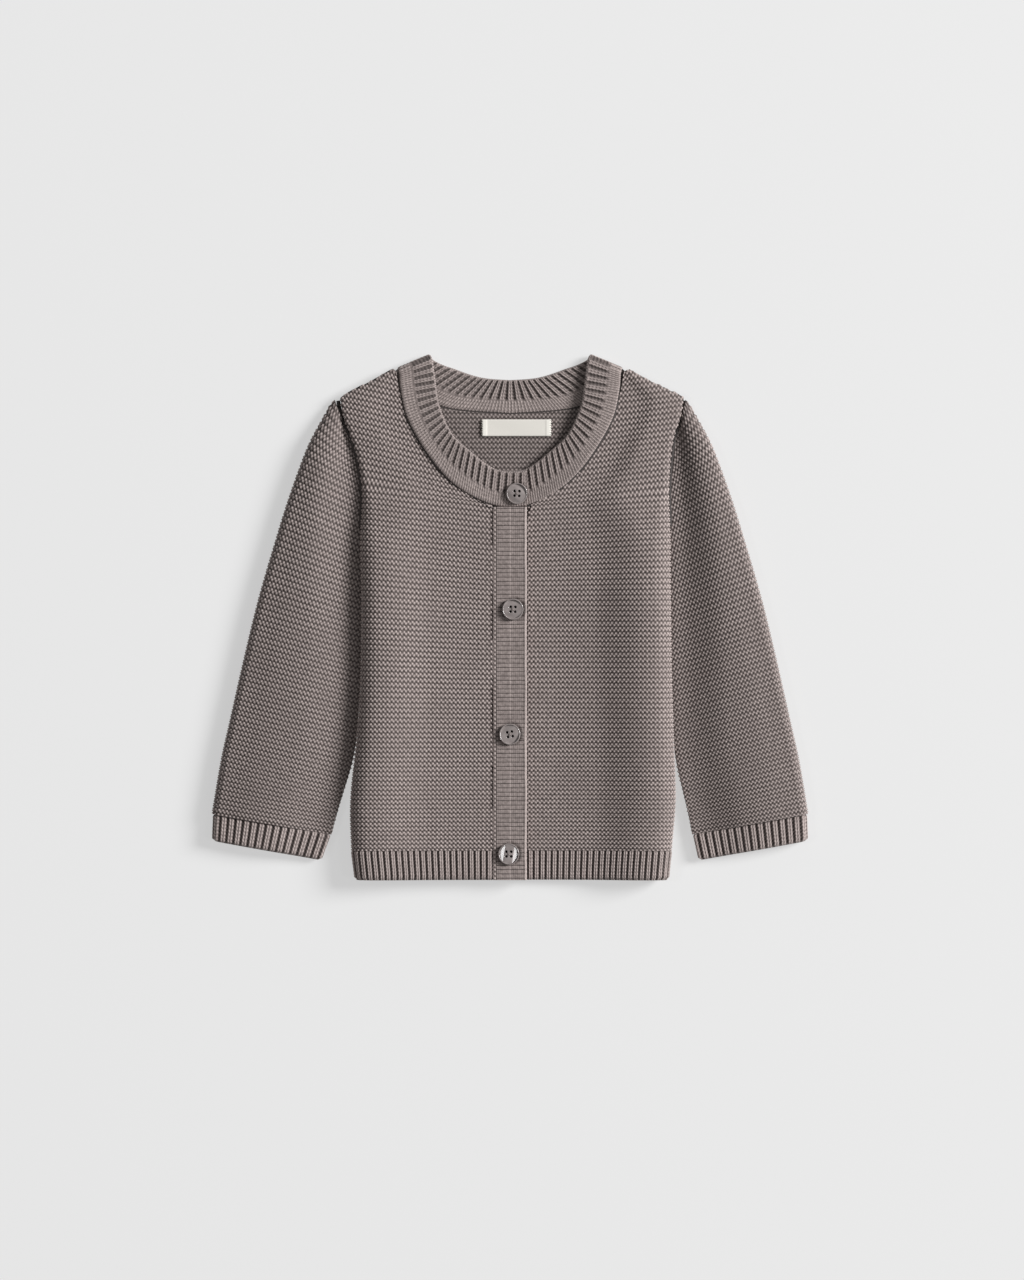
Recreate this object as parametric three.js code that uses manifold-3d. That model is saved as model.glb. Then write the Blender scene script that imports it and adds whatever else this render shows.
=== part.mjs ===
// Baby cardigan, knitted in garter stitch, buttoned and laid flat on its back.
// The sides of the body are folded under, and the sleeves lie beside it.
// Millimetres. +X is right and +Y is towards the neck, seen from above. +Z is up from the surface.
import * as THREE from 'three';
import { mergeVertices } from 'three/addons/utils/BufferGeometryUtils.js';
import Module from 'manifold-3d';

const { clamp, lerp, smoothstep, degToRad } = THREE.MathUtils;

// Cloth and seams
const wall = 3.0; // thick garter-stitch cloth
const gap = 0.3; // between pieces that touch
const seamGap = 0.5; // between pieces sewn along a curve

// Levels of the middle of each layer above the surface
const backLevel = wall / 2;
const underBandLevel = backLevel + wall + gap;
const overBandLevel = underBandLevel + wall + gap;
const shoulderLevel = 5.4;

// Body
const hemY = -147.4;
const hemTopY = -131;
const bandHalf = 9.5; // half of the button band's width
const bandTopY = 60.3; // the bands end under the neckband's seam
const foldDepth = 36; // how far the folded side reaches in from the fold
const foldEndY = 60;
const rollWidth = 9; // plan width of the round edge at the fold
const humpAt = 16; // crest of the fold, in from its edge

// Ribs
const hemRib = { pitch: 3.35, height: 1.0 };
const cuffRib = { pitch: 4.1, height: 1.0 };
const neckRib = { pitch: 4.1, height: 1.1, reach: 0.6 };
const bandRib = { pitch: 2.4, height: 0.5 };

// Buttons and label
const button = {
  radius: 5.9, thickness: 2.9, rim: 0.9, face: 2.6, strip: 2.6, drop: 1.0,
  holeRadius: 0.65, holeSpacing: 1.3, sides: 20, holeSides: 6,
};
const label = { x: 3.6, y: 105.2, width: 38.6, depth: 9.4, thickness: 0.8 };

// Half width of the body at each height: the fold below the underarm, the armhole seam above it
const bodySides = [
  { y: -147.4, left: 86.6, right: 88.6 },
  { y: -131.0, left: 88.5, right: 90.2 },
  { y: -102.5, left: 89.0, right: 92.4 },
  { y: -69.0, left: 85.7, right: 91.3 },
  { y: -35.0, left: 83.4, right: 90.2 },
  { y: 9.5, left: 82.9, right: 89.6 },
  { y: 43.0, left: 83.4, right: 89.4 },
  { y: 65.5, left: 82.6, right: 88.8 },
  { y: 79.0, left: 83.6, right: 89.2 },
  { y: 90.0, left: 85.8, right: 90.2 },
  { y: 101.0, left: 89.4, right: 92.0 },
  { y: 112.0, left: 93.4, right: 95.6 },
  { y: 122.6, left: 95.3, right: 97.4 },
];

// Rows of a front from the hem rib to the shoulder. fold is 1 where the side is folded under,
// and crest is the height of the cloth's middle over the fold.
const frontRows = [
  { sideY: -131.0, innerY: -131.0, fold: 1.0, crest: 13.4 },
  { sideY: -100.0, innerY: -100.0, fold: 1.0, crest: 14.4 },
  { sideY: -64.0, innerY: -64.0, fold: 1.0, crest: 14.6 },
  { sideY: -28.0, innerY: -28.0, fold: 1.0, crest: 14.3 },
  { sideY: 10.0, innerY: 10.0, fold: 1.0, crest: 14.0 },
  { sideY: 42.0, innerY: 38.0, fold: 0.95, crest: 12.4 },
  { sideY: 64.0, innerY: 61.0, fold: 0.5, crest: 10.2 },
  { sideY: 78.0, fold: 0.1, crest: 8.8 },
  { sideY: 91.0, fold: 0.0, crest: 8.2 },
  { sideY: 104.0, fold: 0.0, crest: 7.8 },
  { sideY: 115.0, fold: 0.0, crest: 7.3 },
  { sideY: 122.6, fold: 0.0, crest: shoulderLevel },
];
const neckCorner = 6; // row of a front at the corner between its band and the neckband

// Neckband from its end, which laps past the centre line, up to the fold at the shoulder
const neckRows = [
  { seamX: -9.5, seamY: 61.4, freeX: -9.5, freeY: 81.0 },
  { seamX: 9.9, seamY: 62.0, freeX: 7.6, freeY: 81.8 },
  { seamX: 29.3, seamY: 72.0, freeX: 24.5, freeY: 94.0 },
  { seamX: 44.0, seamY: 87.5, freeX: 33.0, freeY: 102.8 },
  { seamX: 57.0, seamY: 109.5, freeX: 39.6, freeY: 118.0 },
  { seamX: 62.0, seamY: 128.0, freeX: 42.2, freeY: 131.5 },
  { seamX: 63.3, seamY: 138.9, freeX: 44.6, freeY: 146.6 },
];
// Neckband behind the neck, from the fold at the shoulder to the centre
const backNeckRows = [
  { seamX: 63.3, seamY: 138.9, freeX: 44.6, freeY: 146.6 },
  { seamX: 55.0, seamY: 126.5, freeX: 33.8, freeY: 139.6 },
  { seamX: 36.0, seamY: 116.5, freeX: 16.8, freeY: 133.6 },
  { seamX: 0.0, seamY: 113.2, freeX: 0.0, freeY: 132.0 },
];

// Sleeve from the shoulder's tip to the cuff. away is the clear distance from the body's side.
const sleeveRows = [
  { outer: 99.6, outerY: 121.0, innerY: 119.0, away: 0.0, height: 2.2 },
  { outer: 105.2, outerY: 110.3, innerY: 110.8, away: 0.0, height: 6.4 },
  { outer: 111.2, outerY: 99.1, innerY: 100.0, away: 0.0, height: 8.6 },
  { outer: 116.0, outerY: 87.9, innerY: 88.5, away: 0.0, height: 9.0 },
  { outer: 124.0, outerY: 65.5, innerY: 64.0, away: 0.0, height: 9.0 },
  { outer: 131.0, outerY: 43.1, innerY: 35.0, away: 0.0, height: 9.0 },
  { outer: 140.8, outerY: 9.5, innerY: -3.0, away: 0.0, height: 9.0 },
  { outer: 149.0, outerY: -24.1, innerY: -38.0, away: 0.0, height: 9.0 },
  { outer: 156.6, outerY: -57.7, innerY: -71.0, away: 0.0, height: 9.0 },
  { outer: 161.6, outerY: -80.1, innerY: -92.5, away: 2.8, height: 9.0 },
  { outer: 166.8, outerY: -110.6, innerY: -122.3, away: 11.0, height: 9.0 },
];
const hollowFrom = 3; // first row of the sleeve that is hollow
const valley = { depth: 2.4, from: 9, to: 30 }; // dip of a sleeve's top beside the body
const ridge = { height: 2.6, from: 10, at: 0.62 }; // swell of its top, and its place on the width
const cuff = {
  outer: 166.4, outerY: -125.6, innerY: -136.6, inner: 105.6, height: 8.4, crown: 0.7,
  step: 1.2, drop: 0.8, // how far its upper edge lies in and down from the sleeve's end
};

const yarn = { colour: 0x85796f, roughness: 0.95, metalness: 0 };
const yarnDark = { colour: 0x776c66, roughness: 0.95, metalness: 0 };
const shell = { colour: 0x8a8078, roughness: 0.25, metalness: 0 };
const ribbon = { colour: 0xd9d6cf, roughness: 0.8, metalness: 0 };

const cardigan = new THREE.Group();

function place(name, geometry, finish) {
  const { colour: color, roughness, metalness } = finish;
  const mesh = new THREE.Mesh(geometry, new THREE.MeshStandardMaterial({ color, roughness, metalness }));
  mesh.name = name;
  cardigan.add(mesh);
  return mesh;
}

// One column of a table on a smooth curve through its rows, at a position counted in rows
function column(table, name, position) {
  const row = clamp(Math.floor(position), 0, table.length - 2);
  const f = position - row;
  const at = (k) => table[clamp(k, 0, table.length - 1)][name];
  const [a, b, c, d] = [at(row - 1), at(row), at(row + 1), at(row + 2)];
  return b + 0.5 * f * (c - a + f * (2 * a - 5 * b + 4 * c - d + f * (3 * (b - c) + d - a)));
}

function bodySide(side, y) {
  const below = bodySides.filter((entry) => entry.y <= y).length;
  const row = clamp(below - 1, 0, bodySides.length - 2);
  const span = bodySides[row + 1].y - bodySides[row].y;
  const name = side < 0 ? 'left' : 'right';
  return column(bodySides, name, row + (y - bodySides[row].y) / span);
}

function steps(count, from = 0, to = 1) {
  return Array.from({ length: count + 1 }, (_, k) => lerp(from, to, k / count));
}

// Points at equal distances along a line of points
function resample(points, count) {
  const path = new THREE.CurvePath();
  points.slice(1).forEach((point, k) => path.add(new THREE.LineCurve3(points[k], point)));
  return steps(count).map((t) => path.getPointAt(t));
}

// Height of a rib's wave at a station: two stations on the rib, then one in the channel
const ribStations = 3;
function ribWave(station) {
  return station % ribStations < 2 ? 0.5 : -0.5;
}

// Geometry from corner points and triangles, turned so that its faces point out
function closedBody(points, triangles) {
  const volume = triangles.reduce((sum, [a, b, c]) => {
    const cross = new THREE.Vector3().crossVectors(points[b], points[c]);
    return sum + points[a].dot(cross);
  }, 0);
  const outward = volume < 0 ? triangles.map(([a, b, c]) => [a, c, b]) : triangles;
  const geometry = new THREE.BufferGeometry().setFromPoints(points);
  geometry.setIndex(outward.flat());
  geometry.computeVertexNormals();
  return geometry;
}

// Cloth wall over a grid of its middle points. rise lifts the outer face and sink lowers the inner one.
function clothWall(grid, { rise = () => 0, sink = () => 0, upAt = [0, -1] } = {}) {
  const rows = grid.length;
  const cols = grid[0].length;
  const normals = grid.map((line, i) => line.map((_, j) => {
    const along = grid[Math.min(i + 1, rows - 1)][j].clone().sub(grid[Math.max(i - 1, 0)][j]);
    const across = line[Math.min(j + 1, cols - 1)].clone().sub(line[Math.max(j - 1, 0)]);
    return across.cross(along).normalize();
  }));
  const turn = normals.at(upAt[0]).at(upAt[1]).z < 0 ? -1 : 1;
  const shifted = (i, j, distance) => {
    const point = grid[i][j].clone().addScaledVector(normals[i][j], turn * distance);
    point.z = Math.max(point.z, 0);
    return point;
  };
  const outer = grid.flatMap((line, i) => line.map((_, j) => shifted(i, j, wall / 2 + rise(i, j))));
  const inner = grid.flatMap((line, i) => line.map((_, j) => shifted(i, j, -wall / 2 - sink(i, j))));
  const at = (i, j) => i * cols + j;
  const skin = outer.length;
  const triangles = [];
  const quad = (a, b, c, d) => triangles.push([a, b, c], [a, c, d]);
  for (let i = 0; i < rows - 1; i += 1) {
    for (let j = 0; j < cols - 1; j += 1) {
      const [a, b, c, d] = [at(i, j), at(i, j + 1), at(i + 1, j + 1), at(i + 1, j)];
      quad(a, b, c, d);
      quad(skin + d, skin + c, skin + b, skin + a);
    }
  }
  for (let j = 0; j < cols - 1; j += 1) {
    const [a, b, c, d] = [at(0, j), at(0, j + 1), at(rows - 1, j), at(rows - 1, j + 1)];
    quad(b, a, skin + a, skin + b);
    quad(c, d, skin + d, skin + c);
  }
  for (let i = 0; i < rows - 1; i += 1) {
    const [a, b, c, d] = [at(i, 0), at(i + 1, 0), at(i, cols - 1), at(i + 1, cols - 1)];
    quad(a, b, skin + b, skin + a);
    quad(d, c, skin + c, skin + d);
  }
  return closedBody([...outer, ...inner], triangles);
}

// Middle of a front's cloth on one row, from under the folded side over its round edge to the seam
function frontSection({ side, sideX, sideY, innerX, innerY, fold, crest, innerLevel, coarse, reach }) {
  const edge = new THREE.Vector3(side * sideX, sideY, 0);
  const seam = new THREE.Vector3(side * innerX, innerY, 0);
  const width = edge.distanceTo(seam);
  const roll = lerp(3, rollWidth, fold);
  const top = lerp(width * 0.4, humpAt, fold);
  const slope = (t) => 0.8 * smoothstep(t, 0, 0.7) + 0.2 * t;
  const height = (a) => (a < top
    ? crest - 0.9 * ((top - a) / top) ** 2
    : lerp(crest, innerLevel, slope(clamp((a - top) / (width - top), 0, 1))));
  const rollTop = height(roll + wall / 2);
  const rollFoot = lerp(shoulderLevel - 0.6, backLevel, fold);
  const middle = (rollTop + rollFoot) / 2;
  const start = degToRad(lerp(58, -72, fold));
  const profile = steps(coarse ? 6 : 16, start, Math.PI / 2).map((angle) => [
    wall / 2 + roll * (1 - Math.cos(angle)),
    middle + (rollTop - middle) * Math.sin(angle),
  ]);
  const flat = steps(coarse ? 8 : 40, wall / 2 + roll, reach ?? width).slice(1).map((a) => [a, height(a)]);
  return [...profile, ...flat].map(([a, z]) => edge.clone().lerp(seam, a / width).setZ(z));
}

function neckPoint(side, rows, edgeName, position) {
  const x = column(rows, `${edgeName}X`, position);
  return new THREE.Vector3(side * x, column(rows, `${edgeName}Y`, position), 0);
}

// Row of a front at a position counted in the rows of its table
function frontRow(side, position, reach) {
  const sideY = column(frontRows, 'sideY', position);
  const neck = Math.max(position - neckCorner, 0) + 1;
  const bandLevel = side < 0 ? overBandLevel : underBandLevel;
  let innerX = bandHalf + gap;
  let innerY = 0;
  if (position <= neckCorner) {
    const low = frontRows.slice(0, neckCorner + 1);
    innerY = column(low, 'innerY', position) - seamGap;
  } else {
    const seam = neckPoint(side, neckRows, 'seam', neck);
    const free = neckPoint(side, neckRows, 'free', neck);
    seam.addScaledVector(seam.clone().sub(free).normalize(), seamGap);
    innerX = Math.max(Math.abs(seam.x), bandHalf + gap);
    innerY = seam.y;
  }
  return frontSection({
    side, sideX: bodySide(side, sideY), sideY, innerX, innerY,
    fold: clamp(column(frontRows, 'fold', position), 0, 1),
    crest: column(frontRows, 'crest', position),
    innerLevel: lerp(bandLevel, shoulderLevel, (neck - 1) / (neckRows.length - 2)), coarse: true, reach,
  });
}

function hemRow(side, y, coarse, reach) {
  const bandLevel = side < 0 ? overBandLevel : underBandLevel;
  return frontSection({
    side, sideX: bodySide(side, y), sideY: y, innerX: bandHalf + gap, innerY: y,
    fold: 1, crest: frontRows[0].crest, innerLevel: bandLevel, coarse, reach,
  });
}

// Fronts: one knitted panel each, from the hem rib to the shoulder
function front(name, side) {
  const body = steps(12, 0, neckCorner).map((position) => frontRow(side, position));
  const above = steps(10, neckCorner, frontRows.length - 1).slice(1);
  const yoke = above.map((position) => frontRow(side, position));
  place(name, clothWall([...body, ...yoke]), yarn);
}

// Ribbed lower edge of a front
function frontHem(name, side) {
  const line = hemRow(side, hemTopY);
  const length = new THREE.CatmullRomCurve3(line).getLength();
  const stations = ribStations * Math.round(length / hemRib.pitch) - 2;
  const grid = [hemTopY - gap - seamGap, hemY].map((y) => resample(hemRow(side, y), stations));
  const rise = (i, j) => ribWave(j) * hemRib.height;
  place(name, clothWall(grid, { rise }), yarn);
}

// Manifold solids for the pieces that are cut or joined
const wasm = await Module();
wasm.setup();

function toSolid(geometry) {
  const bare = geometry.clone();
  bare.deleteAttribute('normal');
  bare.deleteAttribute('uv');
  const merged = mergeVertices(bare, 1e-4);
  const vertProperties = new Float32Array(merged.attributes.position.array);
  const triVerts = new Uint32Array(merged.index.array);
  return new wasm.Manifold(new wasm.Mesh({ numProp: 3, vertProperties, triVerts }));
}

function fromSolid(solid) {
  const { vertProperties, triVerts } = solid.getMesh();
  const geometry = new THREE.BufferGeometry();
  geometry.setAttribute('position', new THREE.BufferAttribute(vertProperties, 3));
  geometry.setIndex(new THREE.BufferAttribute(triVerts, 1));
  geometry.computeVertexNormals();
  return geometry;
}

// Triangles that fill a flat ring, wound the same way as the ring
function fillRing(outline) {
  const faces = THREE.ShapeUtils.triangulateShape(outline, []);
  const [a, b, c] = faces[0].map((k) => outline[k]);
  const turn = THREE.ShapeUtils.area([a, b, c]) * THREE.ShapeUtils.area(outline);
  return turn < 0 ? faces.map(([p, q, r]) => [p, r, q]) : faces;
}

// Body lofted through closed rings of equal length, its ends filled
function loft(rings, outlineOf) {
  const size = rings[0].length;
  const triangles = [];
  for (let i = 0; i < rings.length - 1; i += 1) {
    for (let j = 0; j < size; j += 1) {
      const k = (j + 1) % size;
      triangles.push([i * size + j, i * size + k, (i + 1) * size + k]);
      triangles.push([i * size + j, (i + 1) * size + k, (i + 1) * size + j]);
    }
  }
  const cap = (ring) => fillRing(rings[ring].map(outlineOf));
  cap(0).forEach(([a, b, c]) => triangles.push([a, c, b]));
  const last = (rings.length - 1) * size;
  cap(rings.length - 1).forEach(([a, b, c]) => triangles.push([last + a, last + b, last + c]));
  return { rings, triangles };
}

// Hidden layers of a folded side: one rounded solid under the front, parted into layers at the hem
function sideFold(name, side) {
  const reach = foldDepth - seamGap;
  const lastRow = 5.35;
  const sections = [
    ...[hemY + 2, hemTopY - 1].map((y) => hemRow(side, y, true, reach)),
    ...steps(8, 0.2, lastRow).map((position) => frontRow(side, position, reach)),
  ];
  const under = wall / 2 + gap + 0.3;
  const inward = -side;
  const rings = sections.map((section) => {
    const upper = section.slice(1).map((point, k) => {
      const run = (section[k + 2] ?? point).clone().sub(section[k]).normalize();
      return point.clone().add(new THREE.Vector3(inward * run.z * under, 0, -inward * run.x * under));
    });
    const foot = new THREE.Vector3(section[0].x + inward * 1.8, section[0].y, 0);
    const ledge = foot.clone().setZ(wall + gap + 0.2);
    return [foot, ledge, ...upper, upper.at(-1).clone().setZ(0)];
  });
  const body = loft(rings, (point) => new THREE.Vector2(point.x, point.z));
  let solid = toSolid(closedBody(body.rings.flat(), body.triangles));
  const slit = { height: 0.6, depth: 5 };
  [1, 2, 3].forEach((layer) => {
    const plate = new THREE.BoxGeometry(100, slit.depth * 2, slit.height);
    plate.translate(side * 60, hemY + 2, layer * wall);
    solid = solid.subtract(toSolid(plate));
  });
  place(name, fromSolid(solid), yarnDark);
}

// Back: one knitted panel flat on the surface, between the folded sides below the underarms
function back() {
  const foldInner = (side, y) => bodySide(side, y) - foldDepth;
  const halfOutline = (side) => [
    ...[hemY, -100, -50, 0, 30, foldEndY].map((y) => [side * foldInner(side, y), y]),
    ...[86, 98, 110, 121.5].map((y) => [side * (bodySide(side, y) - seamGap), y]),
    ...steps(9, 0, backNeckRows.length - 1).map((t) => {
      const seam = neckPoint(side, backNeckRows, 'seam', t);
      const away = seam.clone().sub(neckPoint(side, backNeckRows, 'free', t)).normalize();
      seam.addScaledVector(away, seamGap + 0.3 + 1.6 * smoothstep(1.5 - t, 0, 1.5));
      return [seam.x, seam.y];
    }),
  ];
  const left = halfOutline(-1);
  const right = halfOutline(1).slice(0, -1).reverse();
  const outline = [...left, ...right].map(([x, y]) => new THREE.Vector2(x, y));
  const geometry = new THREE.ExtrudeGeometry(new THREE.Shape(outline), { depth: wall, bevelEnabled: false });
  place('back', geometry, yarnDark);
}

// Neckband: one ribbed strip, picked up round the neck and turned over at each shoulder
function neckband() {
  const radius = (shoulderLevel - backLevel) / 2;
  const inset = radius + wall / 2;
  const line = (side, rows, edgeName, count, levelAt) => steps(count, 0, rows.length - 1).map((t) => (
    neckPoint(side, rows, edgeName, t).setZ(levelAt(t / (rows.length - 1)))));
  const edges = ['free', 'seam'];
  const half = (side) => {
    const bandLevel = side < 0 ? overBandLevel : underBandLevel;
    const lapped = 1 / (neckRows.length - 1); // share of the rows where the two ends lap
    const swell = (f) => 1.6 * Math.sin(Math.PI * clamp((f - lapped) / (1 - lapped), 0, 1));
    const frontLevel = (f) => lerp(bandLevel, shoulderLevel, smoothstep(f, lapped, 1)) + swell(f);
    const [free, seam] = edges.map((edgeName) => {
      const fore = line(side, neckRows, edgeName, 30, frontLevel);
      const rear = line(side, backNeckRows, edgeName, 24, () => backLevel);
      return { fore, rear };
    });
    const along = free.fore.at(-1).clone().sub(seam.fore.at(-1)).setZ(0).normalize();
    const out = new THREE.Vector3(-along.y, along.x, 0);
    if (out.y < 0) out.negate();
    return [free, seam].map(({ fore, rear }) => {
      const pull = (points, nearEnd) => points.map((point, k) => {
        const f = nearEnd ? k / (points.length - 1) : 1 - k / (points.length - 1);
        return point.clone().addScaledVector(out, -inset * smoothstep(f, 0.55, 1));
      });
      const top = pull(fore, true);
      const bottom = pull(rear, false);
      const bend = steps(6, 0, Math.PI).slice(1, -1).map((angle) => {
        const centre = top.at(-1).clone().setZ(shoulderLevel - radius);
        return centre.addScaledVector(out, radius * Math.sin(angle)).setZ(
          shoulderLevel - radius + radius * Math.cos(angle));
      });
      return [...top, ...bend, ...bottom];
    });
  };
  const [leftFree, leftSeam] = half(-1);
  const [rightFree, rightSeam] = half(1);
  const freeLine = [...leftFree, ...rightFree.slice(0, -1).reverse()];
  const seamLine = [...leftSeam, ...rightSeam.slice(0, -1).reverse()];
  const middleLine = freeLine.map((point, k) => point.clone().lerp(seamLine[k], 0.4));
  const reaches = [0];
  middleLine.slice(1).forEach((point, k) => reaches.push(reaches[k] + point.distanceTo(middleLine[k])));
  const stations = ribStations * Math.round(reaches.at(-1) / neckRib.pitch) - 2;
  const across = [0, neckRib.reach, neckRib.reach + 0.1, 1];
  const grid = steps(stations, 0, reaches.at(-1)).map((reach) => {
    const after = clamp(reaches.findIndex((value) => value >= reach - 1e-6), 1, reaches.length - 1);
    const f = (reach - reaches[after - 1]) / (reaches[after] - reaches[after - 1]);
    const free = freeLine[after - 1].clone().lerp(freeLine[after], f);
    const seam = seamLine[after - 1].clone().lerp(seamLine[after], f);
    return across.map((v) => free.clone().lerp(seam, v));
  });
  const ribbed = (i, j) => (j < 2 ? ribWave(i) * neckRib.height : 0);
  const nearLap = ({ x, y }) => x < bandHalf + 1 && y < neckRows[0].freeY + 3;
  const isUnderLap = (i) => i > stations / 2 && nearLap(grid[i][1]);
  const isBehind = (i) => grid[i][0].z < backLevel + 0.05;
  const isTurn = (i) => !isBehind(i) && grid[i][0].z < shoulderLevel - 0.15;
  place('neckband', clothWall(grid, {
    rise: (i, j) => (isBehind(i) || isTurn(i) || isUnderLap(i) ? 0 : ribbed(i, j)),
    sink: (i, j) => (isBehind(i) ? ribbed(i, j) : 0),
  }), yarn);
}

// Button bands: the upper one with its fine cross ribs, and the one beneath it that holds the buttons
function band(name, level, ribbed) {
  const ribs = Math.round((bandTopY - hemY) / bandRib.pitch);
  const stations = ribbed ? 2 * ribs : 4;
  const grid = steps(stations, hemY, bandTopY).map((y) => (
    [-1, 1].map((across) => new THREE.Vector3(across * bandHalf, y, level))));
  const rise = (i) => (ribbed ? (i % 2 - 0.5) * bandRib.height : 0);
  place(name, clothWall(grid, { rise }), yarn);
}

// Rise of a flattened sleeve's top over its even height, at a distance out from its inner edge
function sleeveSwell(w, width) {
  const dip = valley.depth * smoothstep(w, 0, valley.from - 1) * (1 - smoothstep(w, valley.from, valley.to));
  const fall = 1 - 0.5 * smoothstep(w, (ridge.at + 0.06) * width, width);
  return ridge.height * smoothstep(w, ridge.from, ridge.at * width) * fall - dip;
}

// Flattened tube: section of a row as distances out from the body and up from the surface
function tubeSection({ width, height, inset, crown, plain }) {
  const radius = height / 2 - inset;
  const arc = plain ? 5 : 12;
  const ends = [
    ...steps(arc, -Math.PI / 2, Math.PI / 2).map((angle) => [width - height / 2, angle]),
    ...steps(arc, Math.PI / 2, Math.PI * 1.5).map((angle) => [height / 2, angle]),
  ].map(([centre, angle]) => [centre + radius * Math.cos(angle), height / 2 + radius * Math.sin(angle)]);
  const split = ends.length / 2;
  const flat = (from, to, count) => steps(count).slice(1, -1).map((f) => [
    lerp(from[0], to[0], f), lerp(from[1], to[1], f)]);
  const top = flat(ends[split - 1], ends[split], plain ? 12 : 24);
  const foot = flat(ends[2 * split - 1], ends[0], plain ? 2 : 8);
  const points = [...ends.slice(0, split), ...top, ...ends.slice(split), ...foot];
  return points.map(([w, z]) => {
    const share = clamp((z - height / 2) / radius, 0, 1);
    return [w, z + crown * share * sleeveSwell(w, width)];
  });
}

function sleeveRing(row, inset, plain = true) {
  const width = row.from.distanceTo(row.to);
  const section = tubeSection({ width, height: row.height, inset, crown: row.crown, plain });
  return section.map(([w, z]) => row.from.clone().lerp(row.to, w / width).setZ(z));
}

// Closed tube wall from outer and inner rings. The hollow is open at the last ring, and at the first
// one too when both sets have as many rings.
function tubeWall(outer, inner) {
  const size = outer[0].length;
  const points = [...outer.flat(), ...inner.flat()];
  const innerStart = outer.length * size;
  const triangles = [];
  const strip = (a, b, flip) => {
    for (let j = 0; j < size; j += 1) {
      const k = (j + 1) % size;
      const [p, q, r, s] = [a + j, a + k, b + k, b + j];
      triangles.push(flip ? [p, r, q] : [p, q, r], flip ? [p, s, r] : [p, r, s]);
    }
  };
  const cap = (start, ring, flip) => {
    const from = ring[0];
    const axis = ring[Math.floor(size / 4)].clone().sub(from).setZ(0).normalize();
    const flat = ring.map((point) => new THREE.Vector2(point.clone().sub(from).dot(axis), point.z));
    fillRing(flat).forEach(([a, b, c]) => {
      triangles.push(flip ? [start + a, start + c, start + b] : [start + a, start + b, start + c]);
    });
  };
  for (let i = 0; i < outer.length - 1; i += 1) strip(i * size, (i + 1) * size, false);
  for (let i = 0; i < inner.length - 1; i += 1) {
    strip(innerStart + i * size, innerStart + (i + 1) * size, true);
  }
  strip((outer.length - 1) * size, innerStart + (inner.length - 1) * size, false);
  if (inner.length === outer.length) {
    strip(innerStart, 0, false);
  } else {
    cap(0, outer[0], true);
    cap(innerStart, inner[0], false);
  }
  return closedBody(points, triangles);
}

function sleeve(name, side) {
  const rowAt = (position) => {
    const innerY = column(sleeveRows, 'innerY', position);
    const inner = bodySide(side, innerY) + seamGap + Math.max(column(sleeveRows, 'away', position), 0);
    const outerY = column(sleeveRows, 'outerY', position);
    return {
      from: new THREE.Vector3(side * inner, innerY, 0),
      to: new THREE.Vector3(side * column(sleeveRows, 'outer', position), outerY, 0),
      height: column(sleeveRows, 'height', position),
      crown: clamp(position / hollowFrom, 0, 1),
    };
  };
  const positions = [0, 0.5, 1, 1.5, 2, 2.5, ...steps(10, hollowFrom, sleeveRows.length - 1)];
  const outer = positions.map((position) => sleeveRing(rowAt(position), 0));
  const hollow = positions.filter((position) => position >= hollowFrom);
  const inner = hollow.map((position) => sleeveRing(rowAt(position), wall));
  place(name, tubeWall(outer, inner), yarn);
}

// Cuff: ribbed tube that carries the sleeve on
function cuffTube(name, side) {
  const last = sleeveRows.at(-1);
  const { step, drop, height, crown } = cuff;
  const innerX = bodySide(side, last.innerY) + seamGap + last.away;
  const start = {
    from: new THREE.Vector3(side * (innerX + step), last.innerY - drop, 0),
    to: new THREE.Vector3(side * (last.outer - step), last.outerY - drop, 0),
    height, crown,
  };
  const end = {
    from: new THREE.Vector3(side * cuff.inner, cuff.innerY, 0),
    to: new THREE.Vector3(side * cuff.outer, cuff.outerY, 0),
    height, crown,
  };
  const girth = 2 * end.from.distanceTo(end.to) + (Math.PI - 2) * height;
  const stations = ribStations * Math.round(girth / cuffRib.pitch);
  const ribbedRing = (row, inset) => {
    const ring = sleeveRing(row, inset, false);
    return resample([...ring, ring[0]], stations).slice(0, -1);
  };
  const outer = [start, end].map((row) => {
    const ring = ribbedRing(row, 0.3);
    const middle = row.from.clone().lerp(row.to, 0.5).setZ(height / 2);
    return ring.map((point, k) => {
      const onSurface = point.z < 0.6;
      const lift = onSurface ? 0 : ribWave(k) * cuffRib.height;
      const prev = ring.at(k - 1);
      const next = ring[(k + 1) % ring.length];
      const run = next.clone().sub(prev).normalize();
      const ahead = end.from.clone().sub(start.from).normalize();
      const out = run.cross(ahead).normalize();
      if (out.dot(point.clone().sub(middle)) < 0) out.negate();
      const moved = point.clone().addScaledVector(out, lift);
      moved.z = onSurface ? 0 : Math.max(moved.z, 0);
      return moved;
    });
  });
  const hollow = [start, end].map((row) => ribbedRing(row, wall));
  place(name, tubeWall(outer, hollow), yarnDark);
}

// Four-hole buttons: a flat strip across the face, sloping facets beside it and a thin raised rim.
// strip and holes are their turns in degrees, which differ from button to button.
const buttonPlaces = [
  { x: 3.8, y: 68.3, strip: -40, holes: -3 },
  { x: 1.6, y: 3.7, strip: 0, holes: -2 },
  { x: -0.1, y: -66.0, strip: 36, holes: 10 },
  { x: -0.7, y: -132.8, strip: 81, holes: 0 },
];

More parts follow.
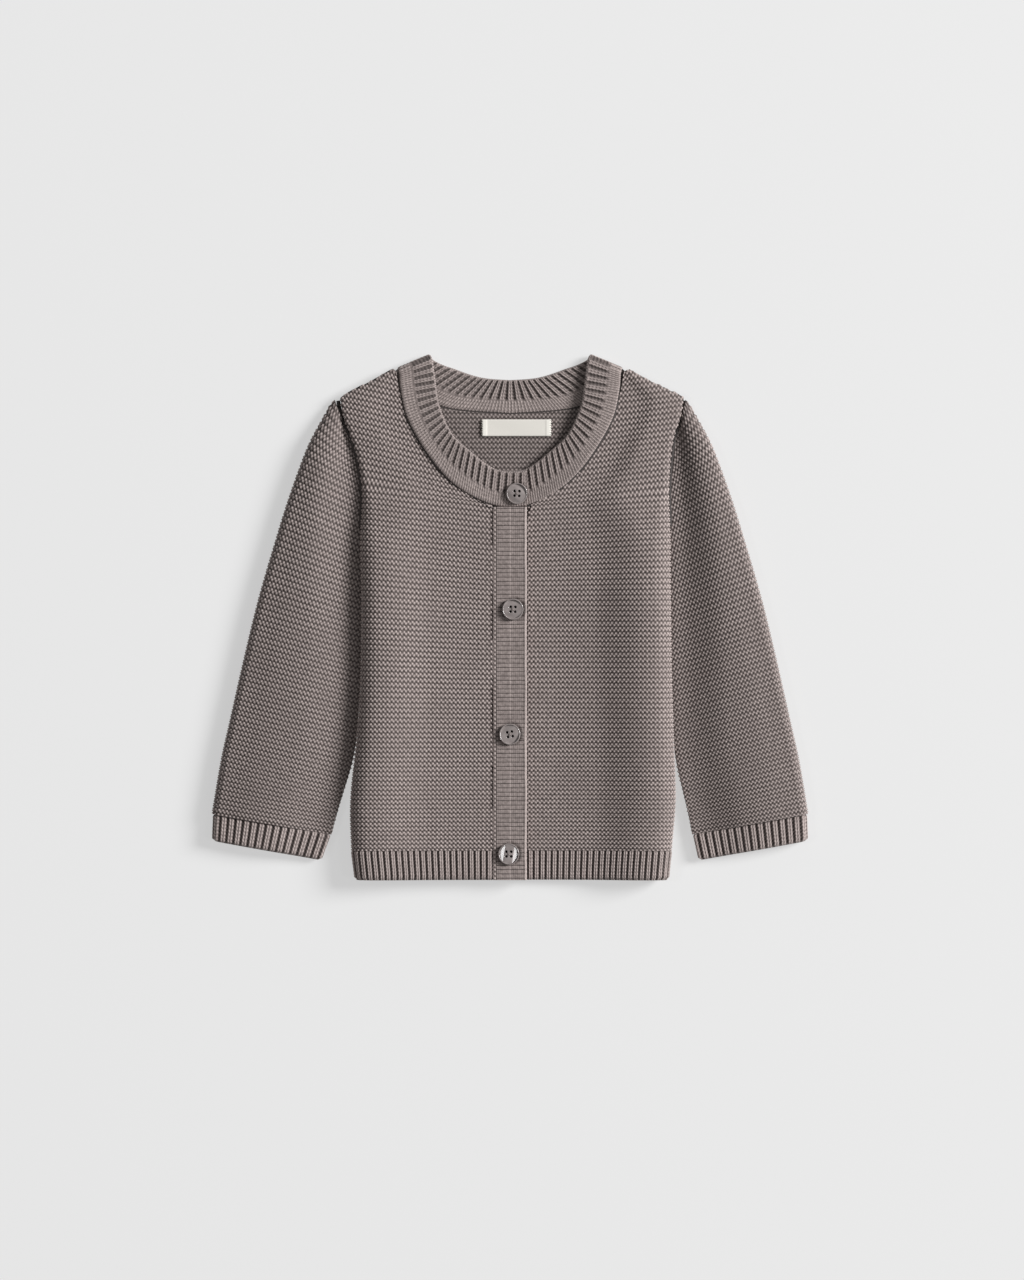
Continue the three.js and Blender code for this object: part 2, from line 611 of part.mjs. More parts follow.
function buttonBody(holeTurn) {
  const lathe = (profile) => {
    const outline = profile.map(([r, z]) => new THREE.Vector2(r, z));
    return toSolid(new THREE.LatheGeometry(outline, button.sides).rotateX(Math.PI / 2));
  };
  const { radius, thickness, rim, face, strip, drop } = button;
  const wide = radius - rim / 2;
  const disc = lathe([[0, 0], [radius - rim - 0.4, 0], [wide, 0.5], [wide, face], [0, face]]);
  const slope = new THREE.Shape([
    [-radius - 1, -1], [radius + 1, -1], [radius + 1, face - drop - 0.5], [strip, face],
    [-strip, face], [-radius - 1, face - drop - 0.5],
  ].map(([v, z]) => new THREE.Vector2(v, z)));
  const roof = new THREE.ExtrudeGeometry(slope, { depth: 4 * radius, bevelEnabled: false });
  roof.translate(0, 0, -2 * radius);
  roof.rotateX(Math.PI / 2).rotateZ(Math.PI / 2);
  const ring = lathe([
    [radius - rim, 0.4], [radius - 0.5, 0.4], [radius, 0.9], [radius, thickness - 0.4],
    [radius - rim / 2, thickness], [radius - rim, thickness - 0.3], [radius - rim, 0.4],
  ]);
  let body = disc.intersect(toSolid(roof)).add(ring);
  [[1, 1], [1, -1], [-1, 1], [-1, -1]].forEach(([sx, sy]) => {
    const { holeRadius, holeSides, holeSpacing } = button;
    const hole = new THREE.CylinderGeometry(holeRadius, holeRadius, 4 * thickness, holeSides);
    hole.rotateX(Math.PI / 2).translate(sx * holeSpacing, sy * holeSpacing, 0).rotateZ(holeTurn);
    body = body.subtract(toSolid(hole));
  });
  return fromSolid(body);
}

// Woven label, sewn inside the back below the neckband
function neckLabel() {
  const { width, depth, thickness } = label;
  const corner = 0.8;
  const [w, d] = [width / 2, depth / 2];
  const outline = new THREE.Shape();
  outline.moveTo(-w + corner, -d);
  outline.lineTo(w - corner, -d);
  outline.quadraticCurveTo(w, -d, w, -d + corner);
  outline.lineTo(w, d - corner);
  outline.quadraticCurveTo(w, d, w - corner, d);
  outline.lineTo(-w + corner, d);
  outline.quadraticCurveTo(-w, d, -w, d - corner);
  outline.lineTo(-w, -d + corner);
  outline.quadraticCurveTo(-w, -d, -w + corner, -d);
  const options = { depth: thickness, bevelEnabled: false, curveSegments: 2 };
  const mesh = place('label', new THREE.ExtrudeGeometry(outline, options), ribbon);
  mesh.position.set(label.x, label.y, wall + gap);
}

back();
front('front_left', -1);
front('front_right', 1);
frontHem('hem_rib_left', -1);
frontHem('hem_rib_right', 1);
sideFold('side_fold_left', -1);
sideFold('side_fold_right', 1);
neckband();
band('button_band', underBandLevel, false);
band('buttonhole_band', overBandLevel, true);
sleeve('sleeve_left', -1);
sleeve('sleeve_right', 1);
cuffTube('cuff_left', -1);
cuffTube('cuff_right', 1);
neckLabel();

const buttonLevel = overBandLevel + wall / 2 + neckRib.height / 2 + gap;
buttonPlaces.forEach(({ x, y, strip, holes }, k) => {
  const mesh = place(`button_${k + 1}`, buttonBody(degToRad(holes - strip)), shell);
  mesh.position.set(x, y, buttonLevel);
  mesh.rotation.z = degToRad(strip);
});

// The origin is on the surface, at the middle of the cardigan's box
const middle = new THREE.Box3().setFromObject(cardigan).getCenter(new THREE.Vector3());
cardigan.position.set(-middle.x, -middle.y, 0);

export default cardigan;
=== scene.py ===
import math

import bmesh
import bpy
import numpy as np
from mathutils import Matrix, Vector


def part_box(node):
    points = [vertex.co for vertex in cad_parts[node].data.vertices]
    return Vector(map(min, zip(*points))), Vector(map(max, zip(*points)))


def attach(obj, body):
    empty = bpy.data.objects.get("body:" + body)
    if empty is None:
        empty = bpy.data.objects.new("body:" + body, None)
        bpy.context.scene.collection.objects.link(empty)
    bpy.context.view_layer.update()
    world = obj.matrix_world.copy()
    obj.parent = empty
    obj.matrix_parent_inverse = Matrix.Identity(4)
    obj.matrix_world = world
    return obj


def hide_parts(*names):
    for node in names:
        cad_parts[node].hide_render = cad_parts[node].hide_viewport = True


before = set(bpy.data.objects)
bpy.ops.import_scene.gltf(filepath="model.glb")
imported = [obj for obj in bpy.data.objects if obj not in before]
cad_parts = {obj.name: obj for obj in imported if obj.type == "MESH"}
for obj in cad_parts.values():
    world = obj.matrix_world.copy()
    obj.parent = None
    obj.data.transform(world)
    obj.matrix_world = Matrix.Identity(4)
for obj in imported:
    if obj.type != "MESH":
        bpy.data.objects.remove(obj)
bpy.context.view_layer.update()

# The camera looks straight down on the laid-out cardigan, from far enough for little perspective.
MM = 0.001
FRAME_WIDE = 573.4  # width of the surface that the picture takes in
FRAME_HIGH = FRAME_WIDE * 1280 / 1024
CAMERA_HEIGHT = 2600.0
LOOK_AT = (1.1, -12.9)
camera_data = bpy.data.cameras.new("camera")
camera_data.sensor_fit = "VERTICAL"
camera_data.sensor_height = 24.0
camera_data.lens = camera_data.sensor_height * CAMERA_HEIGHT / FRAME_HIGH
camera_data.clip_end = 20.0
camera = bpy.data.objects.new("camera", camera_data)
camera.location = (LOOK_AT[0] * MM, LOOK_AT[1] * MM, CAMERA_HEIGHT * MM)
bpy.context.scene.collection.objects.link(camera)
bpy.context.scene.camera = camera
bpy.context.scene.view_settings.view_transform = "Standard"

# Back panel: garter stitch, knitted from the hem up, flat on the surface. It shows inside the neck,
# where the light hardly reaches, so its yarn is painted darker as shade; its wrong side is the same ridged
# cloth.
WALL = 3.0
GAP = 0.3
STITCH = 2.33  # width of a stitch
RIDGE = 2.8  # height of a garter ridge, two knitted rows
RELIEF = 1.5  # depth of garter stitch
PER_STITCH = 4  # mesh columns across a stitch, and mesh rows across a ridge
HEM = -147.4
CLEAR = 0.02  # least height of the cloth over the surface
FOLD_DEPTH = 36.0  # width of each side of the body that is folded under
BACK_LEVEL = WALL / 2
UNDER_LEVEL = BACK_LEVEL + WALL + GAP
OVER_LEVEL = UNDER_LEVEL + WALL + GAP
SHOULDER_LEVEL = 5.4
LABEL_AT = (3.6, 105.2)
low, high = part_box("label")
ORIGIN = np.array([(low.x + high.x) / 2 / MM - LABEL_AT[0], (low.y + high.y) / 2 / MM - LABEL_AT[1], 0.0])

BODY_SIDES = {  # half width of the body: the fold below the underarm, the armhole seam above it
    "y": (-147.4, -131.0, -102.5, -69.0, -35.0, 9.5, 43.0, 65.5, 79.0, 90.0, 101.0, 112.0, 122.6),
    "left": (86.6, 88.5, 89.0, 85.7, 83.4, 82.9, 83.4, 82.6, 83.6, 85.8, 89.4, 93.4, 95.3),
    "right": (88.6, 90.2, 92.4, 91.3, 90.2, 89.6, 89.4, 88.8, 89.2, 90.2, 92.0, 95.6, 97.4),
}
NECK = {  # neckband from its end, which laps past the centre line, up to the fold at the shoulder
    "seam_x": (-9.5, 9.9, 29.3, 44.0, 57.0, 62.0, 63.3),
    "seam_y": (61.4, 62.0, 72.0, 87.5, 109.5, 128.0, 138.9),
    "free_x": (-9.5, 7.6, 24.5, 33.0, 39.6, 42.2, 44.6),
    "free_y": (81.0, 81.8, 94.0, 102.8, 118.0, 131.5, 146.6),
}
BACK_NECK = {  # neckband behind the neck, from the fold at the shoulder to the centre
    "seam_x": (63.3, 55.0, 36.0, 0.0),
    "seam_y": (138.9, 126.5, 116.5, 113.2),
    "free_x": (44.6, 33.8, 16.8, 0.0),
    "free_y": (146.6, 139.6, 133.6, 132.0),
}


def smooth_through(values, position):
    """Value on a smooth curve through a row of values, at a position counted in entries."""
    values = np.asarray(values, float)
    position = np.asarray(position, float)
    row = np.clip(np.floor(position).astype(int), 0, len(values) - 2)
    f = position - row
    a, b, c, d = (values[np.clip(row + k, 0, len(values) - 1)] for k in (-1, 0, 1, 2))
    return b + 0.5 * f * (c - a + f * (2 * a - 5 * b + 4 * c - d + f * (3 * (b - c) + d - a)))


def body_side(side, y):
    ys = BODY_SIDES["y"]
    place = np.interp(y, ys, np.arange(len(ys)))
    return smooth_through(BODY_SIDES["left" if side < 0 else "right"], place)


def smoothstep(low_edge, high_edge, x):
    f = np.clip((np.asarray(x, float) - low_edge) / (high_edge - low_edge), 0, 1)
    return f * f * (3 - 2 * f)


def mix(a, b, f):
    return a + (b - a) * f


def normals_of(points):
    """Unit normals of a grid of points. The cross product is of the columns' and the rows' runs."""
    along = np.gradient(points, axis=0)
    across = np.gradient(points, axis=1)
    normal = np.cross(across, along)
    length = np.linalg.norm(normal, axis=2, keepdims=True)
    return normal / np.maximum(length, 1e-9)


def garter_relief(u, v):
    """Height of garter stitch, 0 to 1, over stitches u and ridges v: two rows of purl bumps to a
    ridge, half a stitch apart, with deep holes between them."""
    ridge = 0.24 * np.cos(2 * np.pi * v) - 0.1 * np.cos(4 * np.pi * v)
    bumps = -0.62 * np.cos(2 * np.pi * u) * np.sin(2 * np.pi * v)
    return np.clip(0.5 + 0.55 * (ridge + bumps), 0, 1)


def object_from(shape, name):
    """Object of a finished bmesh, with smooth faces."""
    mesh = bpy.data.meshes.new(name)
    shape.to_mesh(mesh)
    shape.free()
    mesh.polygons.foreach_set("use_smooth", [True] * len(mesh.polygons))
    made = bpy.data.objects.new(name, mesh)
    bpy.context.scene.collection.objects.link(made)
    return made


def cloth_object(name, grid, stitch, close_columns=False):
    """Closed mesh from a grid of points whose last row is its first, in millimetres. stitch holds the
    pattern's coordinates and height at each point."""
    rows, cols = grid.shape[:2]
    shape = bmesh.new()
    layer = shape.verts.layers.float_vector.new("stitch")
    bmesh.ops.create_grid(shape, x_segments=cols - 1, y_segments=rows - 1, size=0.5)
    placed = (grid + ORIGIN) * MM
    for vert in shape.verts:
        i = round((vert.co.y + 0.5) * (rows - 1))
        j = round((vert.co.x + 0.5) * (cols - 1))
        vert.co = placed[i, j]
        vert[layer] = stitch[i, j]
    bmesh.ops.remove_doubles(shape, verts=shape.verts, dist=2e-6)
    bmesh.ops.dissolve_degenerate(shape, edges=shape.edges, dist=1e-7)
    if not close_columns:
        bmesh.ops.holes_fill(shape, edges=shape.edges, sides=0)
    bmesh.ops.recalc_face_normals(shape, faces=shape.faces)
    return object_from(shape, name)


def two_faces(outer, inner, pattern, picks):
    """Grid and pattern of a cloth with a finely modelled outer face and a plain inner one, which meet
    along the side edges. inner has the rows of outer that picks names, in that order."""
    inner[:, 0] = outer[picks, 0]
    inner[:, -1] = outer[picks, -1]
    plain = pattern[picks] * (1, 1, 0)
    return np.concatenate([outer, inner, outer[:1]]), np.concatenate([pattern, plain, pattern[:1]])


def catalogue(piece, slot=None, *nodes):
    """Put a piece on the body and hide the nodes that it stands for. slot is not used."""
    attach(piece, "root")
    if nodes:
        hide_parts(*nodes)


def plug_in(node, **inputs):
    """Set or link a node's inputs, each by its name with _ for a space, or by _ and its number."""
    for key, value in inputs.items():
        plug = node.inputs[int(key[1:])] if key[0] == "_" else node.inputs[key.replace("_", " ")]
        if isinstance(value, Sock):
            value.tree.links.new(value.socket, plug)
        else:
            plug.default_value = value


class Sock:
    """A shader socket that takes part in Python expressions, each operator adding a Math node."""

    def __init__(self, tree, socket):
        self.tree = tree
        self.socket = socket

    def node(self, kind, settings=None, output=0, **inputs):
        made = self.tree.nodes.new(kind)
        for key, value in (settings or {}).items():
            setattr(made, key, value)
        plug_in(made, **inputs)
        return Sock(self.tree, made.outputs[output])

    def math(self, operation, *values, clamp=False):
        settings = {"operation": operation, "use_clamp": clamp}
        return self.node("ShaderNodeMath", settings, **{f"_{k}": v for k, v in enumerate(values)})

    def __add__(self, other):
        return self.math("ADD", self, other)

    def __sub__(self, other):
        return self.math("SUBTRACT", self, other)

    def __mul__(self, other):
        return self.math("MULTIPLY", self, other)

    def __rsub__(self, other):
        return self.math("SUBTRACT", other, self)

    __radd__ = __add__
    __rmul__ = __mul__

    def sine(self):
        return self.math("SINE", self)

    def cosine(self):
        return self.math("COSINE", self)

    def fraction(self):
        return self.math("FRACT", self)

    def size(self):
        return self.math("ABSOLUTE", self)

    def clamped(self):
        return self.math("ADD", self, 0.0, clamp=True)

    def between(self, low_edge, high_edge):
        settings = {"interpolation_type": "SMOOTHSTEP"}
        return self.node("ShaderNodeMapRange", settings, _0=self, _1=low_edge, _2=high_edge, _3=0.0, _4=1.0)

    def blend(self, first, second):
        settings = {"data_type": "RGBA"}
        return self.node("ShaderNodeMix", settings, output=2, _0=self, _6=first, _7=second)

    def noise(self, vector, scale, detail=2.0):
        return self.node("ShaderNodeTexNoise", None, Vector=vector, Scale=scale, Detail=detail)


def new_material(name):
    material = bpy.data.materials.new(name)
    material.use_nodes = True
    tree = material.node_tree
    surface = tree.nodes["Principled BSDF"]
    return material, Sock(tree, None), surface


# Yarn tones: the mid one is the yarn's own; the light one is painted light on the stitches' tops, the dark
# one painted shade down between them.
YARN_PAINTED_LIGHT = (0.66, 0.56, 0.53, 1)
YARN_MID = (0.2, 0.165, 0.156, 1)
YARN_PAINTED_SHADE = (0.02, 0.015, 0.014, 1)


def garter_shade(u, v, mask):
    """The painted light and shade of garter stitch over its pattern: the same bumps as garter_relief, drawn
    finer, high on their tops and low in the holes between.
    """
    across = u * (2 * math.pi)
    up = v * (2 * math.pi)
    wave = (across + up.sine() * 0.35).cosine()
    bumps = wave * up.sine() * -0.62
    ridge = up.cosine() * 0.24 + (up * 2).cosine() * -0.1
    legs = (across * 2 + up).cosine() * 0.07
    return (bumps + ridge + legs) * 0.62 + 0.5


def rib_shade(u, v, mask, wide=0.3, deep=0.16):
    """The painted light and shade of ribbing: light strands along both sides of each rib as painted light,
    dark channels between as painted shade, and flat columns of fine strands where the mask is off. wide
    is half a rib, deep the tone of the channels' painted shade."""
    off = ((u + (v * (2 * math.pi)).sine() * 0.03).fraction() - 0.5).size()
    rib = off.between(wide + 0.11, wide)
    strands = (off * (2 * math.pi / 0.34)).cosine() * -0.17 + 0.64
    leg = (off * 9.0 + v * (2 * math.pi)).cosine() * 0.09
    # The channels' tone is painted shade.
    channel_painted_shade = (v * (2 * math.pi)).cosine() * 0.14 + deep
    ribbed = rib * (strands + leg) + (1 - rib) * channel_painted_shade
    fine = ((u * 3).fraction() - 0.5).size()
    column = fine.between(0.47, 0.3) * 0.42 + (fine * 7.0 + v * (2 * math.pi)).cosine() * 0.09 + 0.3
    return mask * ribbed + (1 - mask) * column


def neck_shade(u, v, mask):
    return rib_shade(u, v, mask, 0.2, 0.2)


def band_shade(u, v, mask):
    """The painted light and shade of the bands: faint ribs across with thin dark lines of painted shade
    between them, a column of chain stitches at the seam with a painted shadow in its groove, a light line up
    the middle and a painted highlight on the rolled edge where the mask is off."""
    off = (u.fraction() - 0.5).size()
    # The thin dark lines between the ribs are painted shade.
    line = off.between(0.33, 0.5)
    strands = (off * (2 * math.pi / 0.3)).cosine() * 0.07 + (v * (4 * math.pi)).cosine() * 0.05
    middle = (v.size()).between(0.3, 0.05) * 0.14
    ribs = strands + middle - line * 0.42 + 0.56
    chain = (v + 3.72).size().between(0.36, 0.2)
    links = (u * (2 * math.pi)).cosine() * 0.3 + 0.68
    # Painted shadow in the groove beside the seam's chain.
    seam_groove_shadow = (v + 3.3).size().between(0.14, 0.03) * -0.3
    plain = chain * links + (1 - chain) * ribs + seam_groove_shadow
    # Where the mask is off, the rolled edge is painted light as a highlight.
    return mask * plain + (1 - mask) * (0.82 + (u * (4 * math.pi)).cosine() * 0.05)


def yarn_material(name, pattern="garter", shade=1.0):
    """Matt plied yarn with fine fibres: painted shade down between the stitches, painted light on their
    tops, and shade darkens the whole copy as painted shade.
    """
    material, make, surface = new_material(name)

    def tint(colour):
        return tuple(c * shade for c in colour[:3]) + (1,)

    stitch = make.node("ShaderNodeAttribute", {"attribute_name": "stitch"}, output=1)
    u, v, mask = (make.node("ShaderNodeSeparateXYZ", None, output=k, _0=stitch) for k in range(3))
    shades = {"garter": garter_shade, "rib": rib_shade, "neck": neck_shade, "band": band_shade}
    height = shades[pattern](u, v, mask)
    where = make.node("ShaderNodeTexCoord", None, output=3)
    fleck = make.noise(where, 700.0, 3.0)
    patch = make.noise(where, 60.0, 2.0)
    fibre = make.noise(where, 2600.0, 2.0)
    rough_height = height + (fleck - 0.5) * 0.5
    # Painted light on the stitches' tops and painted shade in the crevices between them, from the pattern's
    # height.
    painted_light_mask = rough_height.between(0.35, 1.0)
    painted_crevice_shade = rough_height.between(0.0, 0.5)
    cloth = painted_light_mask.blend(tint(YARN_MID), tint(YARN_PAINTED_LIGHT))
    cloth = painted_crevice_shade.blend(tint(YARN_PAINTED_SHADE), cloth)
    cloth = (patch * 0.5).clamped().blend(cloth, tint(YARN_MID))
    rough = height * 0.8 + fleck * 0.6 + fibre * 0.3
    bump = make.node("ShaderNodeBump", None, Strength=0.6, Distance=0.0006, Height=rough)
    plug_in(surface, Base_Color=cloth, Normal=bump, Roughness=0.93, Specular_IOR_Level=0.15)
    plug_in(surface, Sheen_Weight=0.1, Sheen_Roughness=0.6)
    return material


knit = yarn_material("knit_yarn")
# The sleeves' copy of the yarn is painted darker as shade, where they lie low beside the body; the inside
# copy darker still, as the shade inside the neck.
sleeve_knit_painted_shade = yarn_material("knit_yarn_sleeves_painted_shade", shade=0.85)
inside_knit_painted_shade = yarn_material("knit_yarn_inside_painted_shade", shade=0.7)


def lattice(first, last, pitch, per=PER_STITCH):
    """Positions of mesh lines that fall on the pattern's own lines, and reach both ends."""
    step = pitch / per
    return np.arange(math.floor(first / step), math.ceil(last / step) + 1) * step


def ridge_rows(rows_of, samples, pitches):
    """Mesh rows along the ridges: for rows_of(position), which gives a row's ends, the positions at a
    quarter ridge apart and their ridge counts. The ridges are slacker where the cloth hangs free."""
    ends = np.array([rows_of(p) for p in samples])
    middle = ends.mean(axis=1)
    run = ends[:, 1] - ends[:, 0]
    across = np.stack([-run[:, 1], run[:, 0]], axis=1)
    across /= np.linalg.norm(across, axis=1, keepdims=True)
    moved = np.diff(middle[:, :2], axis=0)
    climb = np.abs((moved * (across[1:] + across[:-1]) / 2).sum(axis=1))
    pitch = np.interp((middle[1:, 1] + middle[:-1, 1]) / 2, *pitches)
    count = np.concatenate([[0], np.cumsum(climb / pitch)])
    ridges = np.append(np.arange(0, count[-1], 1 / PER_STITCH), count[-1])
    return np.interp(ridges, count, samples), ridges


def neck_edge(table, edge, side, position):
    x = smooth_through(table[edge + "_x"], position) * side
    y = smooth_through(table[edge + "_y"], position)
    return np.array([x, y, 0 * y])


NECK_PITCH = 4.1  # width of a rib of the neckband
NECK_WIDTH = 19


def band_level(side):
    """Height of a front beside its band: the left one laps over the right one."""
    return OVER_LEVEL if side < 0 else UNDER_LEVEL


def neck_half(side):
    """The neckband's free edge and its seam, on one side: up the front, round the fold at the shoulder
    and down behind the neck."""
    lapped = 1 / 6
    radius = (SHOULDER_LEVEL - BACK_LEVEL) / 2
    inset = radius + WALL / 2
    lines = {}
    for edge in ("free", "seam"):
        f = np.linspace(0, 1, 60)
        fore = neck_edge(NECK, edge, side, f * 6).T
        rise = 1.6 * np.sin(np.pi * np.clip((f - lapped) / (1 - lapped), 0, 1))
        fore[:, 2] = mix(band_level(side), SHOULDER_LEVEL, smoothstep(lapped, 1, f)) + rise
        rear = neck_edge(BACK_NECK, edge, side, f * 3).T
        rear[:, 2] = BACK_LEVEL
        lines[edge] = (f, fore, rear)
    along = lines["free"][1][-1] - lines["seam"][1][-1]
    out = np.array([-along[1], along[0], 0.0])
    out = out / np.linalg.norm(out)
    if out[1] < 0:
        out = -out
    result = []
    for edge in ("free", "seam"):
        f, fore, rear = lines[edge]
        top = fore - out * (inset * smoothstep(0.55, 1, f))[:, None]
        bottom = rear - out * (inset * smoothstep(0.55, 1, 1 - f))[:, None]
        angles = np.linspace(0, math.pi, 14)[1:-1]
        bend = top[-1] + out * (radius * np.sin(angles))[:, None]
        bend[:, 2] = SHOULDER_LEVEL - radius + radius * np.cos(angles)
        result.append(np.concatenate([top, bend, bottom]))
    return result


def back_outline(side, y):
    """Distance of the back's edge from the centre line at height y, folded in below the underarm."""
    folded = body_side(side, y) - FOLD_DEPTH
    return mix(folded, body_side(side, y) - 0.6, smoothstep(60, 88, y))


fine_from = 74.0  # the stitches are modelled from here up, where the back shows inside the neck
rows_y = np.concatenate([np.linspace(HEM, fine_from, 24)[:-1], lattice(fine_from, 139.0, RIDGE)])
cols_x = lattice(-98.0, 98.0, STITCH)
X, Y = np.meshgrid(cols_x, rows_y)
neck_seam = neck_half(1)[1][-60:]  # the part of the neckband's seam that lies behind the neck


def top_at(x):
    behind = np.interp(np.abs(x), neck_seam[::-1, 0], neck_seam[::-1, 1]) - 0.45
    shoulder = np.interp(np.abs(x), (62.0, 96.6), (136.0, 121.0))
    return np.where(np.abs(x) < neck_seam[0, 0] - 1, behind, shoulder)


X = np.clip(X, -back_outline(-1, Y), back_outline(1, Y))
Y = np.minimum(Y, top_at(X))
relief = garter_relief(X / STITCH, Y / RIDGE) * (Y > fine_from)
face = np.stack([X, Y, np.full_like(X, WALL - 0.7)], axis=2)
top = face + np.stack([0 * X, 0 * X, relief * 0.7], axis=2)
under_rows = np.linspace(len(top) - 1, 0, 24).round().astype(int)
under = face[under_rows] * (1, 1, 0) + (0, 0, CLEAR)
pattern = np.stack([X / STITCH, Y / RIDGE, 1 + 0 * X], axis=2)
grid, stitch = two_faces(top, under, pattern, under_rows)
back = cloth_object("back_panel", grid, stitch)
back.data.materials.append(inside_knit_painted_shade)
catalogue(back, "knit", "back")

# Button band: the ribbed band of the right front, hidden under the buttonhole band, which the buttons
# are sewn through. It is plain where it can't be seen.
BAND_HALF = 9.5
BAND_TOP = 60.9
BAND_RIB = 2.4
BUTTONS = {  # place, and turns in degrees of the strip and of the holes
    "button_1": (3.8, 68.3, -40, -3),
    "button_2": (1.6, 3.7, 0, -2),
    "button_3": (-0.1, -66.0, 36, 10),
    "button_4": (-0.7, -132.8, 81, 0),
}


def dimples(x, y):
    """How far each button presses the cloth beneath it down."""
    near = np.min([np.hypot(x - place[0], y - place[1]) for place in BUTTONS.values()], axis=0)
    return 0.75 * (1 - smoothstep(5.6, 7.6, near))


def band_piece(name, level, relief, half, low_y, high_y):
    """A front band: fine ribs across it, a chain of stitches at its seam and a rolled free edge, all as
    deep as relief says."""
    ys = lattice(low_y, high_y, BAND_RIB, 5)
    ys = np.clip(ys, low_y, high_y)
    xs = half * np.sin(np.linspace(-1.25, 1.25, 44)) / math.sin(1.25)
    X, Y = np.meshgrid(xs, ys)
    off = np.abs(Y / BAND_RIB - np.floor(Y / BAND_RIB) - 0.5)
    rib = 1 - smoothstep(0.3, 0.5, off)
    edge = np.clip(1 - (np.abs(X) / half) ** 10, 0, 1)
    wander = 0.25 * np.sin(Y * 0.11) + 0.15 * np.sin(Y * 0.31 + 1)
    roll = np.exp(-((X - (half - 0.9 + 0.5 * wander)) / 0.75) ** 2) * relief
    chain = np.exp(-((X + half - 0.85) / 0.55) ** 2) * relief
    links = 0.5 + 0.5 * np.cos(2 * np.pi * Y / BAND_RIB)
    height = rib * 0.45 * (1 - roll) * (1 - chain) + 1.15 * roll + chain * links * 0.8
    face = np.stack([X, Y, level + WALL / 2 - 0.3 + 0 * X], axis=2)
    top = face.copy()
    top[..., 2] += height * 0.6 * relief - (1 - edge) * 0.5 - dimples(X, Y) * relief
    # The mask is off on the rolled edge, which band_shade paints light as a highlight.
    pattern = np.stack([Y / BAND_RIB, X / STITCH, 1 - roll], axis=2)
    picks = np.linspace(len(top) - 1, 0, 12).round().astype(int)
    bottom = face[picks] * (1, 1, 0) + (0, 0, level - WALL / 2)
    grid, stitch = two_faces(top, bottom, pattern, picks)
    return cloth_object(name, grid, stitch)


rib_yarn = yarn_material("rib_yarn", "rib")
band_yarn = yarn_material("band_yarn", "band")
button_band = band_piece("button_band_under", UNDER_LEVEL, 0.0, BAND_HALF, HEM, BAND_TOP)
button_band.data.materials.append(band_yarn)
catalogue(button_band, "rib", "button_band")

# Fronts: two garter-stitch panels, sewn to the back at the shoulders and sides. Their sides are folded
# under, so the cloth swells over the hidden layers and rolls round the edge down to the surface.
FRONT = {  # heights up the side, and the fold, crest of the cloth and drop to its edge there
    "y": (-131.0, -100.0, -64.0, -28.0, 10.0, 42.0, 64.0, 78.0, 91.0, 104.0, 115.0, 122.6, 131.0, 139.0),
    "fold": (1.0, 1.0, 1.0, 1.0, 1.0, 0.95, 0.5, 0.1, 0.0, 0.0, 0.0, 0.0, 0.0, 0.0),
    "crest": (13.4, 14.4, 14.6, 14.3, 14.0, 12.4, 10.2, 8.8, 8.2, 7.8, 7.3, 7.0, 6.4, 5.6),
    "drop": (0.9, 0.9, 0.9, 0.9, 0.9, 0.9, 0.9, 0.9, 0.9, 0.9, 1.0, 1.5, 1.0, 0.2),
}
FRONT_ROWS = {  # rows of a front: height at its side or shoulder, and at the band up to the neck
    "left": (-131.0, -100.0, -64.0, -28.0, 10.0, 42.0, 71.0, 84.5, 98.5, 118.5, 131.8, 141.0),
    "right": (-131.0, -100.0, -64.0, -28.0, 10.0, 42.0, 68.0, 80.0, 94.0, 115.0, 130.6, 141.0),
    "left_inner": (-131.0, -100.0, -64.5, -30.5, 4.5, 33.0, 61.4),
    "right_inner": (-131.0, -100.0, -64.0, -28.0, 9.5, 37.0, 61.4),
}
FRONT_PITCH = ((-131.0, -119.0, -80.0, -35.0, 43.0, 110.0), (2.42, 2.46, 2.68, 2.85, 2.95, 3.1))
SIDES = ((-1, "left"), (1, "right"))  # sides of the garment, as the picture shows them
SHOULDER_TIP = 122.6
NECK_CORNER = 6
ROLL = 9.0
CREST_AT = 13.5


def front_section(fold, crest, edge, seam, seam_level, drop=0.9, points=90):
    """Points of the cloth's outer face on one row, from the seam by the band out over the fold and round
    under it."""
    width = np.linalg.norm(seam - edge)
    room = min(width / 15, 1)
    half = WALL / 2 * room
    roll = mix(2.0, ROLL, fold) * room
    top_at = mix(width * 0.4, CREST_AT, fold)

    def height(a):
        rise = crest - drop * ((top_at - a) / top_at) ** 2
        t = np.clip((a - top_at) / (width - top_at), 0, 1)
        fall = mix(crest, seam_level, 0.45 * smoothstep(0, 0.45, t) + 0.35 * smoothstep(0, 0.8, t) + 0.2 * t)
        return np.where(a < top_at, rise, fall)

    roll_top = height(roll + half)
    foot = mix(SHOULDER_LEVEL - 0.6, BACK_LEVEL, fold)
    middle = (roll_top + foot) / 2
    angles = np.linspace(math.pi / 2, math.radians(mix(12, -72, fold)), 30)
    round_a = half + roll * (1 - np.cos(angles))
    round_z = middle + (roll_top - middle) * np.sin(angles)
    flat_a = np.linspace(width, half + roll, points)
    a = np.concatenate([flat_a[:-1], round_a])
    z = np.concatenate([height(flat_a[:-1]), round_z])
    line = edge[None] + (seam - edge)[None] * (a / width)[:, None]
    line[:, 2] = z
    return line


def side_point(side, y):
    """Edge of a front: up the folded side and the armhole, then along the shoulder to the neck."""
    tip = float(body_side(side, SHOULDER_TIP))
    x = float(body_side(side, y)) if y < SHOULDER_TIP else np.interp(y, (SHOULDER_TIP, 138.9), (tip, 63.3))
    return np.array([side * x, y, 0.0])


